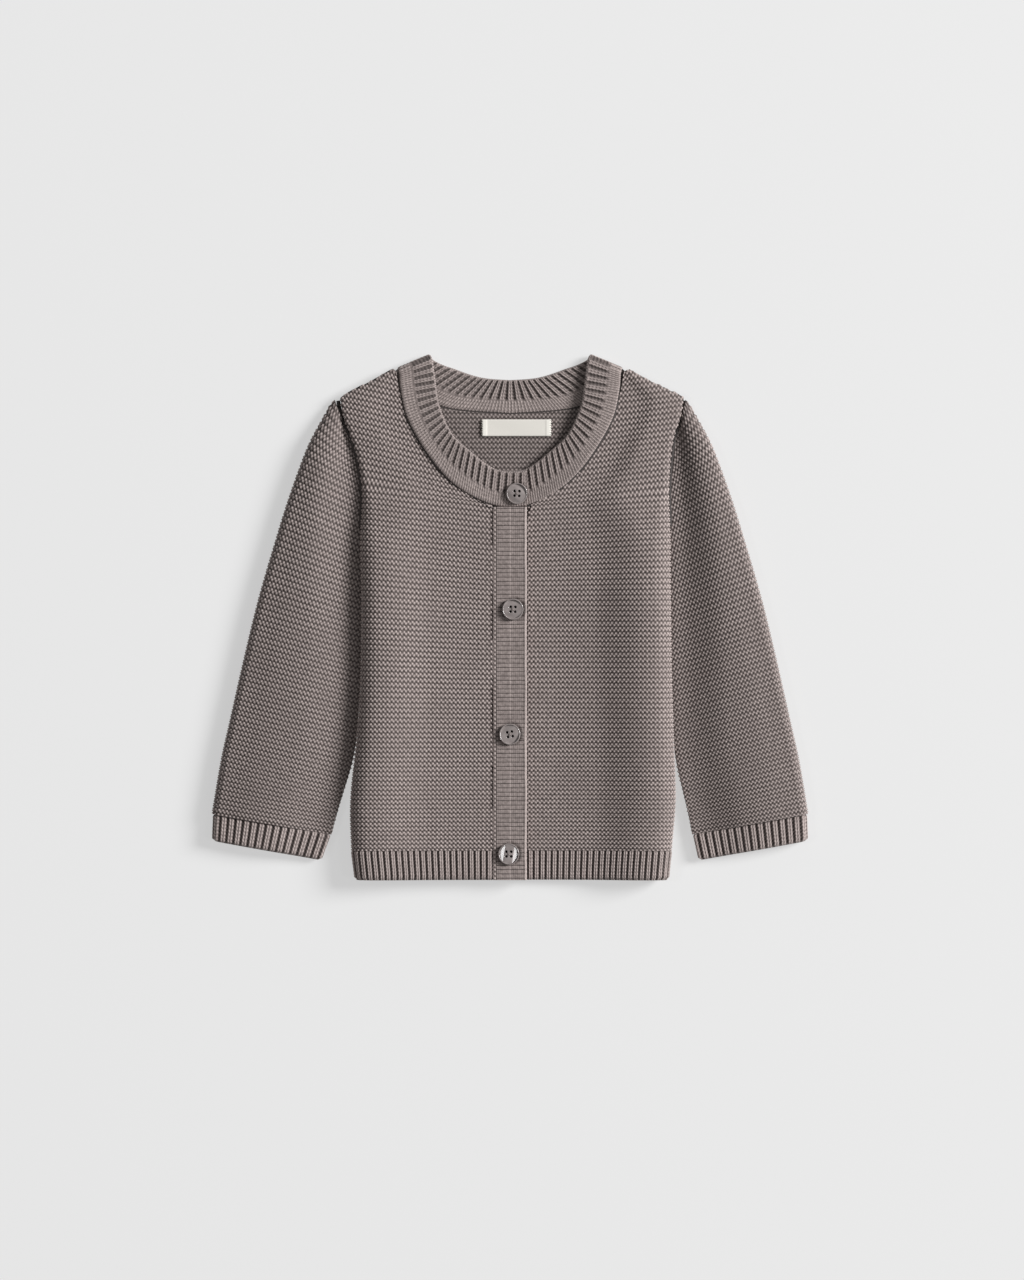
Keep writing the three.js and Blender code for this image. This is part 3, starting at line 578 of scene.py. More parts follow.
def front_ends(side, position):
    name = "left" if side < 0 else "right"
    edge = side_point(side, float(smooth_through(FRONT_ROWS[name], position)))
    if position <= NECK_CORNER:
        inner_y = float(smooth_through(FRONT_ROWS[name + "_inner"], position))
        return edge, np.array([side * (BAND_HALF + GAP), inner_y, 0.0])
    seam = neck_edge(NECK, "seam", side, position - NECK_CORNER + 1)
    away = seam - neck_edge(NECK, "free", side, position - NECK_CORNER + 1)
    return edge, seam + away / np.linalg.norm(away) * 0.3


def front_row(side, position):
    edge, seam = front_ends(side, position)
    level = mix(band_level(side), SHOULDER_LEVEL, max(position - NECK_CORNER, 0) / 5)
    place = np.interp(edge[1], FRONT["y"], np.arange(len(FRONT["y"])))
    fold, crest, drop = (float(smooth_through(FRONT[key], place)) for key in ("fold", "crest", "drop"))
    return front_section(np.clip(fold, 0, 1), crest, edge, seam, level, drop)


def offset_line(line, side, distance):
    """A section's line moved out along its normal, in the plane of the section."""
    run = np.gradient(line, axis=0)
    outward = np.stack([-run[:, 2] * -side, 0 * run[:, 0], run[:, 0] * -side], axis=1)
    outward = outward / np.maximum(np.linalg.norm(outward, axis=1, keepdims=True), 1e-9)
    if outward[2, 2] < 0:
        outward = -outward
    return line + outward * distance


def reaches_along(line):
    """Distance of each point of a line from its first, along the line."""
    return np.concatenate([[0], np.cumsum(np.linalg.norm(np.diff(line, axis=0), axis=1))])


def along_line(line, reach, at):
    """The points of a line that lie at these distances along it."""
    return np.stack([np.interp(at, reach, line[:, k]) for k in range(3)], axis=1)


def lift_clear(points):
    """Raise what lies in the surface to just above it."""
    points[..., 2] = np.maximum(points[..., 2], CLEAR)


def facing_up(normal, row, column):
    """The normals, all turned over if the one at this place of the upper face points down."""
    return -normal if normal[row, column, 2] < 0 else normal


def front_panel(name, side):
    """A front: its garter ridges follow the rows, and columns past a row's end are pinned to its ends."""
    rows, ridges = ridge_rows(lambda p: front_ends(side, p), np.linspace(0, 10.6, 300), FRONT_PITCH)
    lines = []
    starts = []
    reaches = []
    for position in rows:
        line = offset_line(front_row(side, position), side, WALL / 2 - 0.35)
        starts.append(abs(line[0, 0]) - BAND_HALF)
        lines.append(line)
        reaches.append(reaches_along(line))
    longest = max(start + reach[-1] for start, reach in zip(starts, reaches))
    es = lattice(0, longest, STITCH)
    face = np.zeros((len(rows), len(es), 3))
    pattern = np.zeros((len(rows), len(es), 3))
    pins = np.zeros((len(rows), len(es)), int)
    for i, (line, start, reach) in enumerate(zip(lines, starts, reaches)):
        e = np.clip(es, start, start + reach[-1])
        inside = np.flatnonzero((es >= start) & (es <= start + reach[-1]))
        pins[i] = np.clip(np.arange(len(es)), inside[0], inside[-1])
        face[i] = along_line(line, reach, e - start)
        pattern[i, :, 0] = e / STITCH
        pattern[i, :, 1] = ridges[i]
    pattern[..., 2] = 1
    relief = garter_relief(pattern[..., 0], pattern[..., 1])
    normal = normals_of(face)
    normal = np.take_along_axis(normal, pins[..., None].repeat(3, axis=2), axis=1)
    normal = facing_up(normal, len(rows) // 2, 30)
    outer = face + normal * (relief[..., None] - 0.35) * RELIEF
    picks = np.linspace(len(rows) - 1, 0, 30).round().astype(int)
    inner = face[picks] - normal[picks] * (WALL - 0.7)
    lift_clear(outer)
    lift_clear(inner)
    grid, stitch = two_faces(outer, inner, pattern, picks)
    piece = cloth_object(name, grid, stitch)
    piece.data.materials.append(knit)
    return piece


for side, hand in SIDES:
    front = front_panel(hand + "_front", side)
    catalogue(front, "knit", "front_" + hand)

# Buttonhole band: knitted along the left front's edge, its fine ribs running across, with a rolled
# free edge that laps over the right front.
buttonhole_band = band_piece("buttonhole_band_top", OVER_LEVEL, 1.0, BAND_HALF, HEM, BAND_TOP)
buttonhole_band.data.materials.append(band_yarn)
catalogue(buttonhole_band, "rib", "buttonhole_band")

# Hem ribs: the lower edge of each front, knitted in wide ribs of the same yarn and in one with the front.
# Its outer end is folded under with the side.
HEM_TOP = -131.0
HEM_PITCH = 3.35  # width of a rib
RIB_STITCH = 1.9  # height of a stitch in ribbing


def rib_relief(u, v):
    """Height of ribbing, 0 to 1: u counts ribs, v counts stitches up them. Each rib is a column of knit
    stitches, its strands raised along both sides, between deep channels."""
    off = np.abs(u - np.floor(u) - 0.5)
    rib = smoothstep(0.42, 0.3, off)
    strands = 0.85 - 0.12 * np.cos(2 * np.pi * off / 0.34)
    leg = 0.08 * np.cos(2 * np.pi * v + 9 * off)
    return np.clip(rib * (strands + leg) + (1 - rib) * (0.06 + 0.06 * np.cos(2 * np.pi * v)), 0, 1)


def hem_row(side, y):
    """A front's section at the hem rib, which has the form of the front's lowest row."""
    edge = np.array([side * float(body_side(side, y)), y, 0.0])
    seam = np.array([side * (BAND_HALF + GAP), y, 0.0])
    return front_section(1.0, FRONT["crest"][0], edge, seam, band_level(side))


def hem_piece(name, side):
    ys = np.linspace(HEM_TOP - 0.1, HEM, 30)
    lines = []
    for y in ys:
        line = offset_line(hem_row(side, y), side, WALL / 2 - 0.7)
        lines.append((line, reaches_along(line)))
    ribs = round(lines[0][1][-1] / HEM_PITCH)
    us = np.linspace(0, ribs, ribs * 10 + 1)
    face = np.zeros((len(ys), len(us), 3))
    for i, (line, reach) in enumerate(lines):
        face[i] = along_line(line, reach, us / ribs * reach[-1])
    U, V = np.meshgrid(us, (HEM_TOP - ys) / RIB_STITCH)
    relief = rib_relief(U, V)
    lip = smoothstep(0, 2.2, ys - HEM)[:, None] * smoothstep(-0.8, 0.6, HEM_TOP - ys)[:, None]
    normal = facing_up(normals_of(face), 10, 40)
    outer = face + normal * (relief * 1.3 - 0.1 - (1 - lip) * 1.4)[..., None]
    inner = face - normal * (WALL - 1.3)
    pattern = np.stack([U, V, 1 + 0 * U], axis=2)
    picks = np.arange(len(ys) - 1, -1, -3)
    lift_clear(outer)
    lift_clear(inner)
    grid, stitch = two_faces(outer, inner[picks], pattern, picks)
    piece = cloth_object(name, grid, stitch)
    piece.data.materials.append(rib_yarn)
    return piece


for side, hand in SIDES:
    hem = hem_piece(hand + "_hem_rib", side)
    catalogue(hem, "rib", "hem_rib_" + hand)

# Folded sides: what lies hidden between the fronts and the surface, as one rounded filling whose end
# at the hem shows the edges of its layers.


def fold_piece(name, side):
    rings = []
    sections = [hem_row(side, y) for y in (HEM + 2, -140.0, HEM_TOP - 1)]
    sections += [front_row(side, p) for p in np.linspace(0.2, 5.35, 40)]
    for section in sections:
        line = offset_line(section, side, -(WALL / 2 + GAP + 0.3))
        distance = np.abs(line[:, 0] - side * float(body_side(side, line[-1, 1])))
        line = line[distance < FOLD_DEPTH - 0.5]
        line = line[line[:, 2] > 0.1]
        ring = np.concatenate([line[:1] * (1, 1, 0), line, line[-1:] * (1, 1, 0)])
        reach = reaches_along(ring)
        upper = along_line(ring, reach, np.linspace(0, reach[-1], 64))
        base = mix(upper[-1], upper[0], np.linspace(0, 1, 12)[1:, None])
        rings.append(np.concatenate([upper, base]))
    rings = np.array(rings)
    lift_clear(rings)
    caps = []
    for ring, sign in ((rings[0], -1), (rings[-1], 1)):
        heart = ring.mean(axis=0)
        steps = []
        for shrink in np.linspace(0, 0.96, 9)[1:]:
            inward = mix(ring, heart, shrink)
            inward[:, 1] = ring[:, 1] + sign * 1.1 * np.abs(np.sin(np.pi * inward[:, 2] / WALL))
            steps.append(inward)
        caps.append(np.array(steps))
    grid = np.concatenate([caps[0][::-1], rings, caps[1]])
    pattern = grid / STITCH
    pattern[..., 1] += 2.1 * grid[..., 2] / STITCH
    return cloth_object(name, grid, pattern)


for side, hand in SIDES:
    fold = fold_piece(hand + "_side_fold", side)
    fold.data.materials.append(inside_knit_painted_shade)
    catalogue(fold, "knit", "side_fold_" + hand)

# Neckband: one ribbed strip picked up round the neck, its ends lapping over the tops of the bands. It
# turns over at each shoulder, so that behind the neck its inside shows.
left_free, left_seam = neck_half(-1)
right_free, right_seam = neck_half(1)
free_line = np.concatenate([left_free, right_free[-2::-1]])
seam_line = np.concatenate([left_seam, right_seam[-2::-1]])
middle_line = mix(free_line, seam_line, 0.4)
reach = reaches_along(middle_line)
ribs = round(reach[-1] / NECK_PITCH)
us = np.linspace(0, ribs, ribs * 12 + 1)
at = us / ribs * reach[-1]
free_line = along_line(free_line, reach, at)
seam_line = along_line(seam_line, reach, at)
ws = np.concatenate([[0, 0.015, 0.04, 0.07], np.linspace(0.1, 0.97, 28), [0.985, 1.0]])
face = free_line[None] + (seam_line - free_line)[None] * ws[:, None, None]
U, W = np.meshgrid(us, ws)
V = W * NECK_WIDTH / RIB_STITCH
inner_part = 1 - smoothstep(0.55, 0.68, W)
edge_part = 1 - smoothstep(0.03, 0.07, W)
ribbed = rib_relief(U, V)
slant = V + 1.1 * np.abs(3 * U % 1 - 0.5)
flat_part = 0.62 + 0.2 * np.cos(2 * np.pi * 3 * U) + 0.1 * np.sin(2 * np.pi * slant)
relief = mix(flat_part, ribbed, inner_part)
relief = mix(relief, 0.85, edge_part)
round_edge = np.sqrt(np.clip(1 - (1 - np.clip(W / 0.07, 0, 1)) ** 2, 0, 1))
round_seam = np.sqrt(np.clip(1 - (1 - np.clip((1 - W) / 0.06, 0, 1)) ** 2, 0.05, 1))
half_thick = (WALL / 2 - 0.5) * round_edge * round_seam
normal = facing_up(normals_of(face), 14, 60)
height = (relief * 0.9 - 0.1) * round_edge * round_seam
outer = face + normal * (half_thick + height)[..., None]
inner = face - normal * (half_thick + height)[..., None]
lapped_over = outer[..., 2] > OVER_LEVEL
outer[..., 2] -= dimples(outer[..., 0], outer[..., 1]) * lapped_over
lift_clear(outer)
lift_clear(inner)
pattern = np.stack([U, V, 0.85 * inner_part * (1 - edge_part)], axis=2)
inner[:, 0] = outer[:, 0]
inner[:, -1] = outer[:, -1]
grid = np.concatenate([outer, inner[::-1], outer[:1]])
stitch = np.concatenate([pattern, pattern[::-1], pattern[:1]])
neckband = cloth_object("neckband_rib", grid, stitch)
# The neckband's copy of the yarn is painted a little darker, as shade.
neckband.data.materials.append(yarn_material("neckband_yarn_painted_shade", "neck", 0.9))
catalogue(neckband, "rib", "neckband")

# Sleeves: each knitted flat, closed by a seam into a tube, sewn in at the armhole and lying flattened
# beside the body. Two layers of cloth rest on each other, with rounded edges.
SLEEVE = {
    "outer": (98.8, 105.0, 111.2, 116.0, 124.0, 131.0, 140.8, 149.0, 156.6, 161.6, 166.8),
    "outer_y": (121.7, 110.5, 99.1, 87.9, 65.5, 43.1, 9.5, -24.1, -57.7, -80.1, -110.6),
    "inner_y": (102.0, 91.0, 80.0, 70.0, 48.0, 25.0, -7.5, -41.0, -74.7, -96.5, -122.3),
    "away": (0, 0, 0, 0, 0, 0, 0, 0, 0.5, 3.9, 11.0),
}
SLEEVE_TALL = ((60.0, 88.0, 99.5, 110.5, 121.5), (9.0, 9.0, 8.6, 7.2, 4.6))
SLEEVE_PITCH = (
    (-110.0, -103.0, -75.0, -46.0, -18.0, 9.0, 54.0, 99.0),
    (2.42, 2.45, 2.68, 2.78, 2.9, 3.1, 3.3, 3.4),
)
SLEEVE_STITCH = 2.22
SEAM_GAP = -0.5


def sleeve_row(side, position):
    """Ends of one row of a sleeve, beside the body and at the outer edge."""
    inner_y = float(smooth_through(SLEEVE["inner_y"], position))
    away = max(float(smooth_through(SLEEVE["away"], position)), 0)
    start = np.array([side * (float(body_side(side, inner_y)) + SEAM_GAP + away), inner_y, 0.0])
    outer = float(smooth_through(SLEEVE["outer"], position))
    end = np.array([side * outer, float(smooth_through(SLEEVE["outer_y"], position)), 0.0])
    return start, end


def sleeve_swell(w, width):
    """Rise of a sleeve's upper face over its even height: a valley beside the body, and a crest."""
    valley = -3.6 * (1 - smoothstep(2, 32, w))
    crest = 2.6 * smoothstep(8, width * 0.64, w) * (1 - 0.6 * smoothstep(width * 0.68, width, w))
    return valley + crest


def tube_half(start, end, tall, crown, inset, top, sharp=0.0):
    """Upper or lower half of a flattened tube's section, from its outer edge to its inner edge. Its
    height may follow the place on the garment; sharp draws in the upper half's round at the armhole."""
    width = np.linalg.norm(end - start)
    turn = np.linspace(0, math.pi / 2, 12)
    full = 9.0 if tall is None else tall
    radius = full / 2 - inset
    outer_w = width - full / 2 + radius * np.cos(turn)
    inner_w = (full / 2 - radius * np.cos(turn[::-1])) * (1 - 0.7 * sharp)
    flat_w = np.linspace(outer_w[-1], inner_w[0], 30)[1:-1]
    w = np.concatenate([outer_w, flat_w, inner_w])
    share = np.concatenate([np.sin(turn), 1 + 0 * flat_w, np.sin(turn[::-1])])
    line = start[None] + (end - start)[None] * (w / width)[:, None]
    high = np.interp(line[:, 1], *SLEEVE_TALL) if tall is None else full
    swell = crown * sleeve_swell(w, width) * share if top else 0
    line[:, 2] = high / 2 + (1 if top else -1) * share * np.maximum(high / 2 - inset, 0.15) + swell
    return line, reaches_along(line)


def lower_half(start, end, tall, inset, shares):
    """Points at shares of the width of a tube's lower half, back from its inner edge, and its width."""
    line, reach = tube_half(start, end, tall, 0.0, inset, False)
    return along_line(line[::-1], reach[-1] - reach[::-1], shares * reach[-1]), reach[-1]


def tube_normals(face):
    """Normals of a tube whose last column is its first, worked out across that line."""
    wrapped = np.concatenate([face[:, -4:-1], face, face[:, 1:4]], axis=1)
    normal = normals_of(wrapped)[:, 3:-3]
    normal[:, -1] = normal[:, 0]
    return normal


def sleeve_piece(name, side):
    """A sleeve: a tube with garter ridges on its upper half, plain beneath and within."""
    last = len(SLEEVE["outer"]) - 1
    rows, ridges = ridge_rows(lambda p: sleeve_row(side, p), np.linspace(0, last, 300), SLEEVE_PITCH)
    sharp = 1 - smoothstep(2.5, 5.0, rows)
    tops = [tube_half(*sleeve_row(side, p), None, 1.0, 0.45, True, k) for p, k in zip(rows, sharp)]
    es = lattice(0, max(reach[-1] for line, reach in tops), SLEEVE_STITCH)
    under = np.linspace(0, 1, 18)[1:]
    face = np.zeros((len(rows), len(es) + len(under), 3))
    pattern = np.zeros_like(face)
    for i, (p, (line, reach)) in enumerate(zip(rows, tops)):
        e = np.minimum(es, reach[-1])
        face[i, : len(es)] = along_line(line, reach, e)
        face[i, len(es) :], low_width = lower_half(*sleeve_row(side, p), None, 0.1, under)
        pattern[i, : len(es), 0] = e / SLEEVE_STITCH
        pattern[i, len(es) :, 0] = (reach[-1] + under * low_width) / SLEEVE_STITCH
        pattern[i, :, 1] = ridges[i]
    pattern[..., 2] = 1
    face[:, -1] = face[:, 0]
    normal = tube_normals(face)
    pinned = np.linalg.norm(np.diff(face, axis=1, prepend=face[:, :1] - 1), axis=2) < 1e-6
    hold = np.maximum.accumulate(np.where(pinned, 0, np.arange(face.shape[1])[None]), axis=1)
    normal = np.take_along_axis(normal, hold[..., None].repeat(3, axis=2), axis=1)
    normal = facing_up(normal, len(rows) // 2, 40)
    raised = np.arange(face.shape[1]) < len(es)
    lip = (smoothstep(-0.5, 0.4, ridges[-1] - ridges) * smoothstep(-0.1, 0.35, ridges))[:, None]
    relief = garter_relief(pattern[..., 0], pattern[..., 1])
    lift = (relief - 0.4) * RELIEF * raised * lip - (1 - lip) * 0.7
    outer = face + normal * lift[..., None]
    outer[:, -1] = outer[:, 0]
    lift_clear(outer)
    picks = np.linspace(len(rows) - 1, 0, 24).round().astype(int)
    inner = np.zeros((len(picks), face.shape[1], 3))
    for k, i in enumerate(picks):
        start, end = sleeve_row(side, rows[i])
        line, reach = tube_half(start, end, None, 1.0, 2.6, True, sharp[i])
        inner[k, : len(es)] = along_line(line, reach, np.minimum(es / tops[i][1][-1], 1) * reach[-1])
        inner[k, len(es) :] = lower_half(start, end, None, 2.4, under)[0]
        inner[k, -1] = inner[k, 0]
    grid = np.concatenate([outer, inner, outer[:1]])
    stitch = np.concatenate([pattern, pattern[picks] * (1, 1, 0), pattern[:1]])
    piece = cloth_object(name, grid, stitch, close_columns=True)
    piece.data.materials.append(sleeve_knit_painted_shade)
    return piece


for side, hand in SIDES:
    sleeve = sleeve_piece(hand + "_sleeve", side)
    catalogue(sleeve, "knit", "sleeve_" + hand)

# Cuffs: ribbed tubes of the same yarn, knitted on at the ends of the sleeves. They lie flattened, and
# their ends are open.
CUFF = {"outer": 166.4, "outer_y": -125.6, "inner": 105.6, "inner_y": -136.6, "height": 8.4}
CUFF_PITCH = 4.1


def cuff_piece(name, side):
    """A cuff: a tube whose ribs go all round, from the end of its sleeve to the wrist."""
    start, end = sleeve_row(side, 10)
    inward = (start - end) / np.linalg.norm(start - end)
    top_row = (start - inward * 1.0 - (0, 0.1, 0), end + inward * 1.0 - (0, 0.1, 0))
    low_row = (
        np.array([side * CUFF["inner"], CUFF["inner_y"], 0.0]),
        np.array([side * CUFF["outer"], CUFF["outer_y"], 0.0]),
    )
    depth = 14.0
    vs = np.linspace(0, depth, 34)
    tall = CUFF["height"]
    sample = tube_half(*low_row, tall, 0.7, 0.3, True)[1][-1]
    ribs = round(sample / CUFF_PITCH)
    us = np.linspace(0, 2 * ribs, 2 * ribs * 10 + 1)

    def ring(f, inset):
        a, b = mix(top_row[0], low_row[0], f), mix(top_row[1], low_row[1], f)
        top, top_reach = tube_half(a, b, tall, 0.7, inset, True)
        over = along_line(top, top_reach, np.minimum(us / ribs, 1) * top_reach[-1])
        beneath = lower_half(a, b, tall, inset, np.clip(us / ribs - 1, 0, 1))[0]
        return np.where((us <= ribs)[:, None], over, beneath)

    face = np.array([ring(v / depth, 0.6) for v in vs])
    face[:, -1] = face[:, 0]
    normal = facing_up(tube_normals(face), 10, ribs * 5)
    U, V = np.meshgrid(us + 0.5, vs / RIB_STITCH)
    relief = rib_relief(U, V)
    lip = (smoothstep(-0.6, 0.7, vs) * smoothstep(0, 1.6, depth - vs))[:, None]
    lift = relief * 1.3 * lip - 0.35 - (1 - lip) * 0.6
    lift = lift * (face[..., 2] > 0.9)
    outer = face + normal * lift[..., None]
    lift_clear(outer)
    outer[:, -1] = outer[:, 0]
    inner = np.array([ring(v / depth, 3.0) for v in vs[::-4]])
    inner[:, -1] = inner[:, 0]
    pattern = np.stack([U, V, 1 + 0 * U], axis=2)
    plain = pattern[::-4] * (1, 1, 0)
    grid = np.concatenate([outer, inner, outer[:1]])
    stitch = np.concatenate([pattern, plain, pattern[:1]])
    piece = cloth_object(name, grid, stitch, close_columns=True)
    piece.data.materials.append(rib_yarn)
    return piece


for side, hand in SIDES:
    cuff = cuff_piece(hand + "_cuff", side)
    catalogue(cuff, "rib", "cuff_" + hand)

# Label: a plain ribbon of woven cream satin, folded along its length and sewn to the inside of the back
# with fine thread at its two ends.
LABEL_SIZE = (38.6, 9.4)
LABEL_BASE = WALL + GAP


def label_ribbon():
    xs = np.linspace(-LABEL_SIZE[0] / 2, LABEL_SIZE[0] / 2, 90)
    ys = np.linspace(-LABEL_SIZE[1] / 2, LABEL_SIZE[1] / 2, 24)
    X, Y = np.meshgrid(xs, ys)
    to_end = LABEL_SIZE[0] / 2 - np.abs(X)
    to_side = LABEL_SIZE[1] / 2 - np.abs(Y)
    folded = 0.16 * smoothstep(2.9, 2.5, to_end)
    rounded = np.clip(to_end / 0.35, 0, 1) ** 0.5 * np.clip(0.3 + to_side / 0.3, 0, 1) ** 0.5
    sag = 0.1 * np.sin(X * 0.16 + 0.6) * np.sin(np.pi * (Y / LABEL_SIZE[1] + 0.5))
    low_face = np.stack([X, Y, LABEL_BASE + 0 * X], axis=2)
    top = low_face + np.stack([0 * X, 0 * X, 0.12 + rounded * (0.42 + folded) + sag], axis=2)
    top += (LABEL_AT[0], LABEL_AT[1], 0)
    picks = np.linspace(len(top) - 1, 0, 8).round().astype(int)
    bottom = low_face[picks] + (LABEL_AT[0], LABEL_AT[1], 0)
    pattern = np.stack([X, Y, folded * 6], axis=2)
    return cloth_object("neck_label", *two_faces(top, bottom, pattern, picks))


def satin_material():
    material, make, surface = new_material("label_satin")
    where = make.node("ShaderNodeAttribute", {"attribute_name": "stitch"}, output=1)
    x, y, fold = (make.node("ShaderNodeSeparateXYZ", None, output=k, _0=where) for k in range(3))
    weave = (x * 22.0).sine() * (y * 26.0).sine()
    tone = (weave * 0.03 + fold * 0.5 + 0.4).clamped()
    cloth = tone.blend((0.69, 0.66, 0.61, 1), (0.94, 0.91, 0.84, 1))
    bump = make.node("ShaderNodeBump", None, Strength=0.1, Distance=0.00005, Height=weave)
    plug_in(surface, Base_Color=cloth, Normal=bump, Roughness=0.55, Sheen_Weight=0.15)
    return material


neck_label = label_ribbon()
neck_label.data.materials.append(satin_material())
catalogue(neck_label, "label_tape", "label")


def thread_tubes(name, paths, radius, material, sides=6):
    """One piece of round threads along lines of points, in millimetres, with closed ends."""
    shape = bmesh.new()
    for path in paths:
        path = np.asarray(path, float)
        run = np.gradient(path, axis=0)
        run /= np.linalg.norm(run, axis=1, keepdims=True)
        aside = np.cross(run, (0.0, 0.0, 1.0))
        flat = np.linalg.norm(aside, axis=1, keepdims=True)
        aside = np.where(flat > 0.05, aside / np.maximum(flat, 1e-9), (1.0, 0.0, 0.0))
        above = np.cross(aside, run)
        rings = []
        for point, a, b in zip(path, aside, above):
            ring = []
            for k in range(sides):
                angle = 2 * math.pi * k / sides
                place = point + (a * math.cos(angle) + b * math.sin(angle)) * radius
                ring.append(shape.verts.new((place + ORIGIN) * MM))
            rings.append(ring)
        for one, two in zip(rings, rings[1:]):
            for k in range(sides):
                shape.faces.new((one[k], one[(k + 1) % sides], two[(k + 1) % sides], two[k]))
        shape.faces.new(rings[0][::-1])
        shape.faces.new(rings[-1])
    bmesh.ops.recalc_face_normals(shape, faces=shape.faces)
    piece = object_from(shape, name)
    piece.data.materials.append(material)
    catalogue(piece)


def thread_material(name, colour):
    material, make, surface = new_material(name)
    where = make.node("ShaderNodeTexCoord", None, output=3)
    tone = make.noise(where, 3000.0, 2.0)
    shade = tone.blend(tuple(c * 0.6 for c in colour) + (1,), tuple(c * 1.3 for c in colour) + (1,))
    plug_in(surface, Base_Color=shade, Roughness=0.7)
    return material


cream_thread = thread_material("cream_thread", (0.6, 0.58, 0.53))
taupe_thread = thread_material("taupe_thread", (0.3, 0.26, 0.245))
# Near-black thread for the seams: painted shadow.
painted_shadow_thread = thread_material("painted_shadow_thread", (0.045, 0.036, 0.034))
ends = []
for sign in (-1, 1):
    for k in range(7):
        y = LABEL_AT[1] + (k - 3) * 1.3
        x = LABEL_AT[0] + sign * (LABEL_SIZE[0] / 2 - 0.5)
        f = np.linspace(0, 1, 6)
        path = np.stack([x + sign * (0.9 * f), y + 0.5 * f, LABEL_BASE + 0.72 - 0.75 * f**2], axis=1)
        ends.append(path)
thread_tubes("label_stitches", ends, 0.16, cream_thread)

# Buttons: pearly taupe resin, each with a thin round rim, a flat strip across its face between two
# sloping facets, and four holes. A crossed thread holds each one to the band beneath, and the end of
# each buttonhole, which shows beside its button, is oversewn.
BUTTON = {
    "radius": 5.9, "foot": 4.2, "face": 2.5, "strip": 2.15, "drop": 1.46, "flatten": 0.86,
    "hole": 0.7, "apart": 1.3, "sunk_within": 5.1, "sunk": 1.9,
}
BUTTON_RIM = (  # radius and height, from the foot round the rim to the face
    (5.0, 0.05), (5.5, 0.25), (5.85, 0.8), (5.9, 1.2), (5.9, 2.1),
    (5.82, 2.5), (5.68, 2.74), (5.5, 2.8), (5.36, 2.72), (5.28, 2.5),
)
BUTTON_LEVEL = OVER_LEVEL + WALL / 2 - 0.2


def turned(x, y, degrees):
    angle = math.radians(degrees)
    return x * math.cos(angle) - y * math.sin(angle), x * math.sin(angle) + y * math.cos(angle)


def button_piece(name, x, y, strip, holes):
    """Fine disc of rings and spokes: its height follows the strip, facets, rim and holes' edges."""
    spokes = 120
    reach = BUTTON["apart"]
    hole_at = [turned(sx * reach, sy * reach, holes) for sx in (-1, 1) for sy in (-1, 1)]
    shape = bmesh.new()

    def face_height(px, py):
        along, across = turned(px, py, -strip)
        slope = max(abs(across) - BUTTON["strip"], 0) / (BUTTON["radius"] - BUTTON["strip"])
        soft = 0.06 * math.exp(-((abs(across) - BUTTON["strip"]) / 0.25) ** 2)
        return BUTTON["face"] - BUTTON["drop"] * slope - soft

    def add_ring(radius, height_of):
        verts = []
        for k in range(spokes):
            angle = 2 * math.pi * k / spokes
            px, py = radius * math.cos(angle), radius * math.sin(angle)
            verts.append(shape.verts.new((px, py, height_of(px, py))))
        return verts

    previous = add_ring(BUTTON["foot"], lambda px, py: 0.0)
    shape.faces.new(previous[::-1])
    rims = [(radius, lambda px, py, height=height: height) for radius, height in BUTTON_RIM]
    faces = [(radius, face_height) for radius in (5.24, 5.18, *np.linspace(5.05, 0.1, 48))]
    for radius, height_of in rims + faces:
        ring = add_ring(radius, height_of)
        for k in range(spokes):
            after = (k + 1) % spokes
            shape.faces.new((previous[k], previous[after], ring[after], ring[k]))
        previous = ring
    shape.faces.new(previous)
    for vert in shape.verts:
        if vert.co.z < 1.0 or vert.co.xy.length > BUTTON["sunk_within"]:
            continue
        for hx, hy in hole_at:
            away = math.hypot(vert.co.x - hx, vert.co.y - hy)
            if away < BUTTON["hole"] + 0.25:
                sunk = 1 - min(max((away - BUTTON["hole"] + 0.12) / 0.2, 0), 1)
                vert.co.z -= BUTTON["sunk"] * sunk * sunk * (3 - 2 * sunk)
    bmesh.ops.recalc_face_normals(shape, faces=shape.faces)
    # The faces down in the holes get the second material, near-black, as painted shade.
    for face in shape.faces:
        middle = face.calc_center_median()
        near = min(math.hypot(middle.x - hx, middle.y - hy) for hx, hy in hole_at)
        face.material_index = int(near < BUTTON["hole"] + 0.02 and middle.z > 0.3)
    for vert in shape.verts:
        flat = vert.co.z * BUTTON["flatten"] + BUTTON_LEVEL
        vert.co = (np.array([vert.co.x + x, vert.co.y + y, flat]) + ORIGIN) * MM
    return object_from(shape, name)


def resin_material():
    material, make, surface = new_material("button_resin")
    where = make.node("ShaderNodeTexCoord", None, output=3)
    streak = make.noise(where, 220.0, 2.0)
    tone = streak.between(0.3, 0.7).blend((0.25, 0.215, 0.208, 1), (0.33, 0.29, 0.28, 1))
    plug_in(surface, Base_Color=tone, Roughness=0.3)
    plug_in(surface, Coat_Weight=1.0, Coat_IOR=1.7, Coat_Roughness=0.15)
    return material


resin = resin_material()
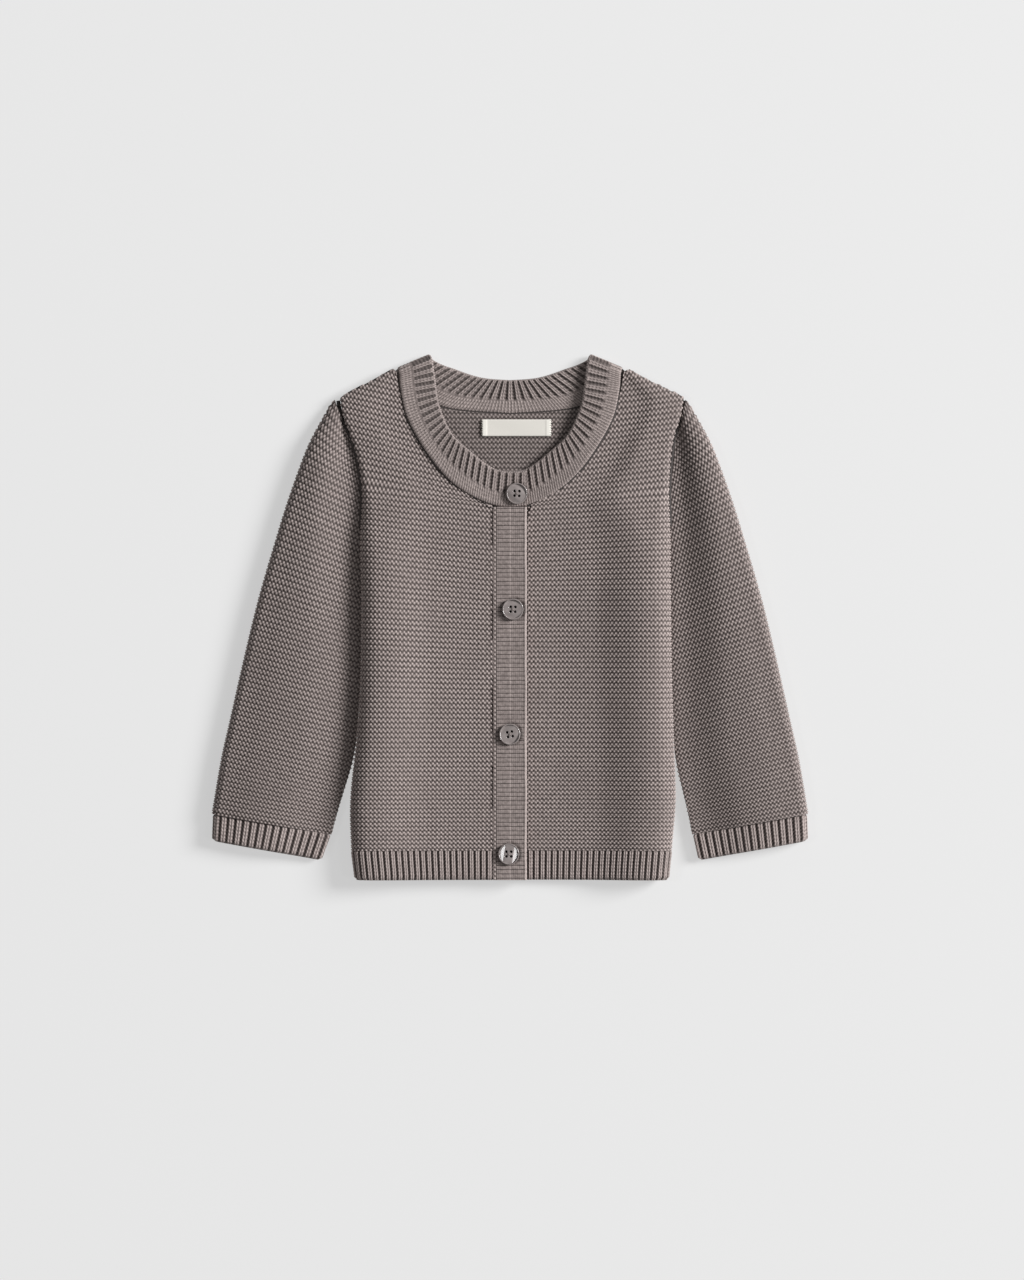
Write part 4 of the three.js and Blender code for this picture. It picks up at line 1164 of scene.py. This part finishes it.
# Near-black for the holes' walls: painted shade.
hole_painted_shade, _, surface = new_material("button_holes_painted_shade")
plug_in(surface, Base_Color=(0.012, 0.01, 0.01, 1), Roughness=0.8)
crossings = []
for name, (x, y, strip, holes) in BUTTONS.items():
    piece = button_piece(name + "_resin", x, y, strip, holes)
    piece.data.materials.append(resin)
    piece.data.materials.append(hole_painted_shade)
    catalogue(piece, "button_resin", name)
    f = np.linspace(-1, 1, 15)
    for sign in (-1, 1):
        ax, ay = turned(BUTTON["apart"] * 0.66, BUTTON["apart"] * 0.66 * sign, holes)
        arch = BUTTON["face"] * BUTTON["flatten"] + 0.24 - 1.4 * np.abs(f) ** 6
        arch += BUTTON_LEVEL + 0.12 * sign * (1 - np.abs(f))
        path = np.stack([x + ax * f, y + ay * f, arch], axis=1)
        crossings.append(path)
holes_sewn = []
for name, (x, y, strip, holes) in BUTTONS.items():
    f = np.linspace(0, 1, 7)
    for k in range(6 if y < BAND_TOP else 0):
        row = y + (k - 2.5) * 0.8
        rise = OVER_LEVEL + WALL / 2 + 0.05 + 0.25 * np.sin(np.pi * f)
        holes_sewn.append(np.stack([x + 5.9 + 1.7 * f, row + 0.2 * f, rise], axis=1))
thread_tubes("buttonhole_stitches", holes_sewn, 0.2, taupe_thread)
thread_tubes("button_threads", crossings, 0.22, taupe_thread, 8)

# Seams: the rounds of yarn that join each sleeve to the body, and the neckband to the back and the
# fronts. They lie in the dark between the pieces and fill what would show as a gap, their thread painted
# near-black as the shadow there.
ARMHOLE_ROUNDS = ((0, 14.0, 120.4), (1.5, 14.0, 116.0), (3.7, 50.0, 98.0))  # rise, first and last y
seams = []
for side in (-1, 1):
    for rise, first, last in ARMHOLE_ROUNDS:
        ys = np.linspace(first, last, 80)
        outward = 0.25 + 0.75 * smoothstep(96, 112, ys)
        xs = side * (np.array([float(body_side(side, y)) for y in ys]) + outward)
        level = np.interp(ys, (14.0, 40.0, 100.0, 121.6), (1.2, 1.4, 2.6, 2.8)) + rise
        seams.append(np.stack([xs, ys, level], axis=1))
behind = np.concatenate([neck_half(-1)[1][-58:], neck_half(1)[1][-2:-58:-1]])
behind[:, 1] -= 0.3
behind[:, 2] = 1.4
seams.append(behind)
for side in (-1, 1):
    round_neck = neck_half(side)[1][11:65].copy()
    round_neck[:, 0] += side * np.linspace(-4.5, 1, 54).clip(0) * 0.9
    round_neck[-6:, 2] = round_neck[-6, 2]
    round_neck[:, 2] -= 0.5
    seams.append(round_neck)
thread_tubes("seam_rounds_painted_shadow", seams, 1.1, painted_shadow_thread, 8)

# The plain pale surface under the cardigan and the soft light: a large lamp high on the right, two
# small ones that the facets of the lowest button mirror, and an even sky.
shape = bmesh.new()
bmesh.ops.create_grid(shape, x_segments=1, y_segments=1, size=6.0)
floor = object_from(shape, "floor")
material, _, surface = new_material("pale_surface")
plug_in(surface, Base_Color=(0.34, 0.34, 0.34, 1), Roughness=0.9, Specular_IOR_Level=0.1)
plug_in(surface, Emission_Color=(1, 1, 1, 1), Emission_Strength=0.5)
floor.data.materials.append(material)


def lamp(name, place, size, power):
    """A round lamp that faces the cardigan, with its place and width in metres and its power in watts."""
    data = bpy.data.lights.new(name, "AREA")
    data.shape = "DISK"
    data.size = size
    data.energy = power
    made = bpy.data.objects.new(name, data)
    made.location = place
    direction = -made.location
    made.rotation_euler = direction.to_track_quat("-Z", "Y").to_euler()
    bpy.context.scene.collection.objects.link(made)


lamp("key", (7.0, 2.5, 4.2), 3.4, 975.0)
lamp("left", (-5.0, 0.45, 6.6), 1.3, 45.0)
lamp("right", (5.0, -1.15, 6.6), 1.3, 35.0)
world = bpy.data.worlds.new("sky")
world.use_nodes = True
plug_in(world.node_tree.nodes["Background"], Color=(1, 1, 1, 1), Strength=0.18)
bpy.context.scene.world = world
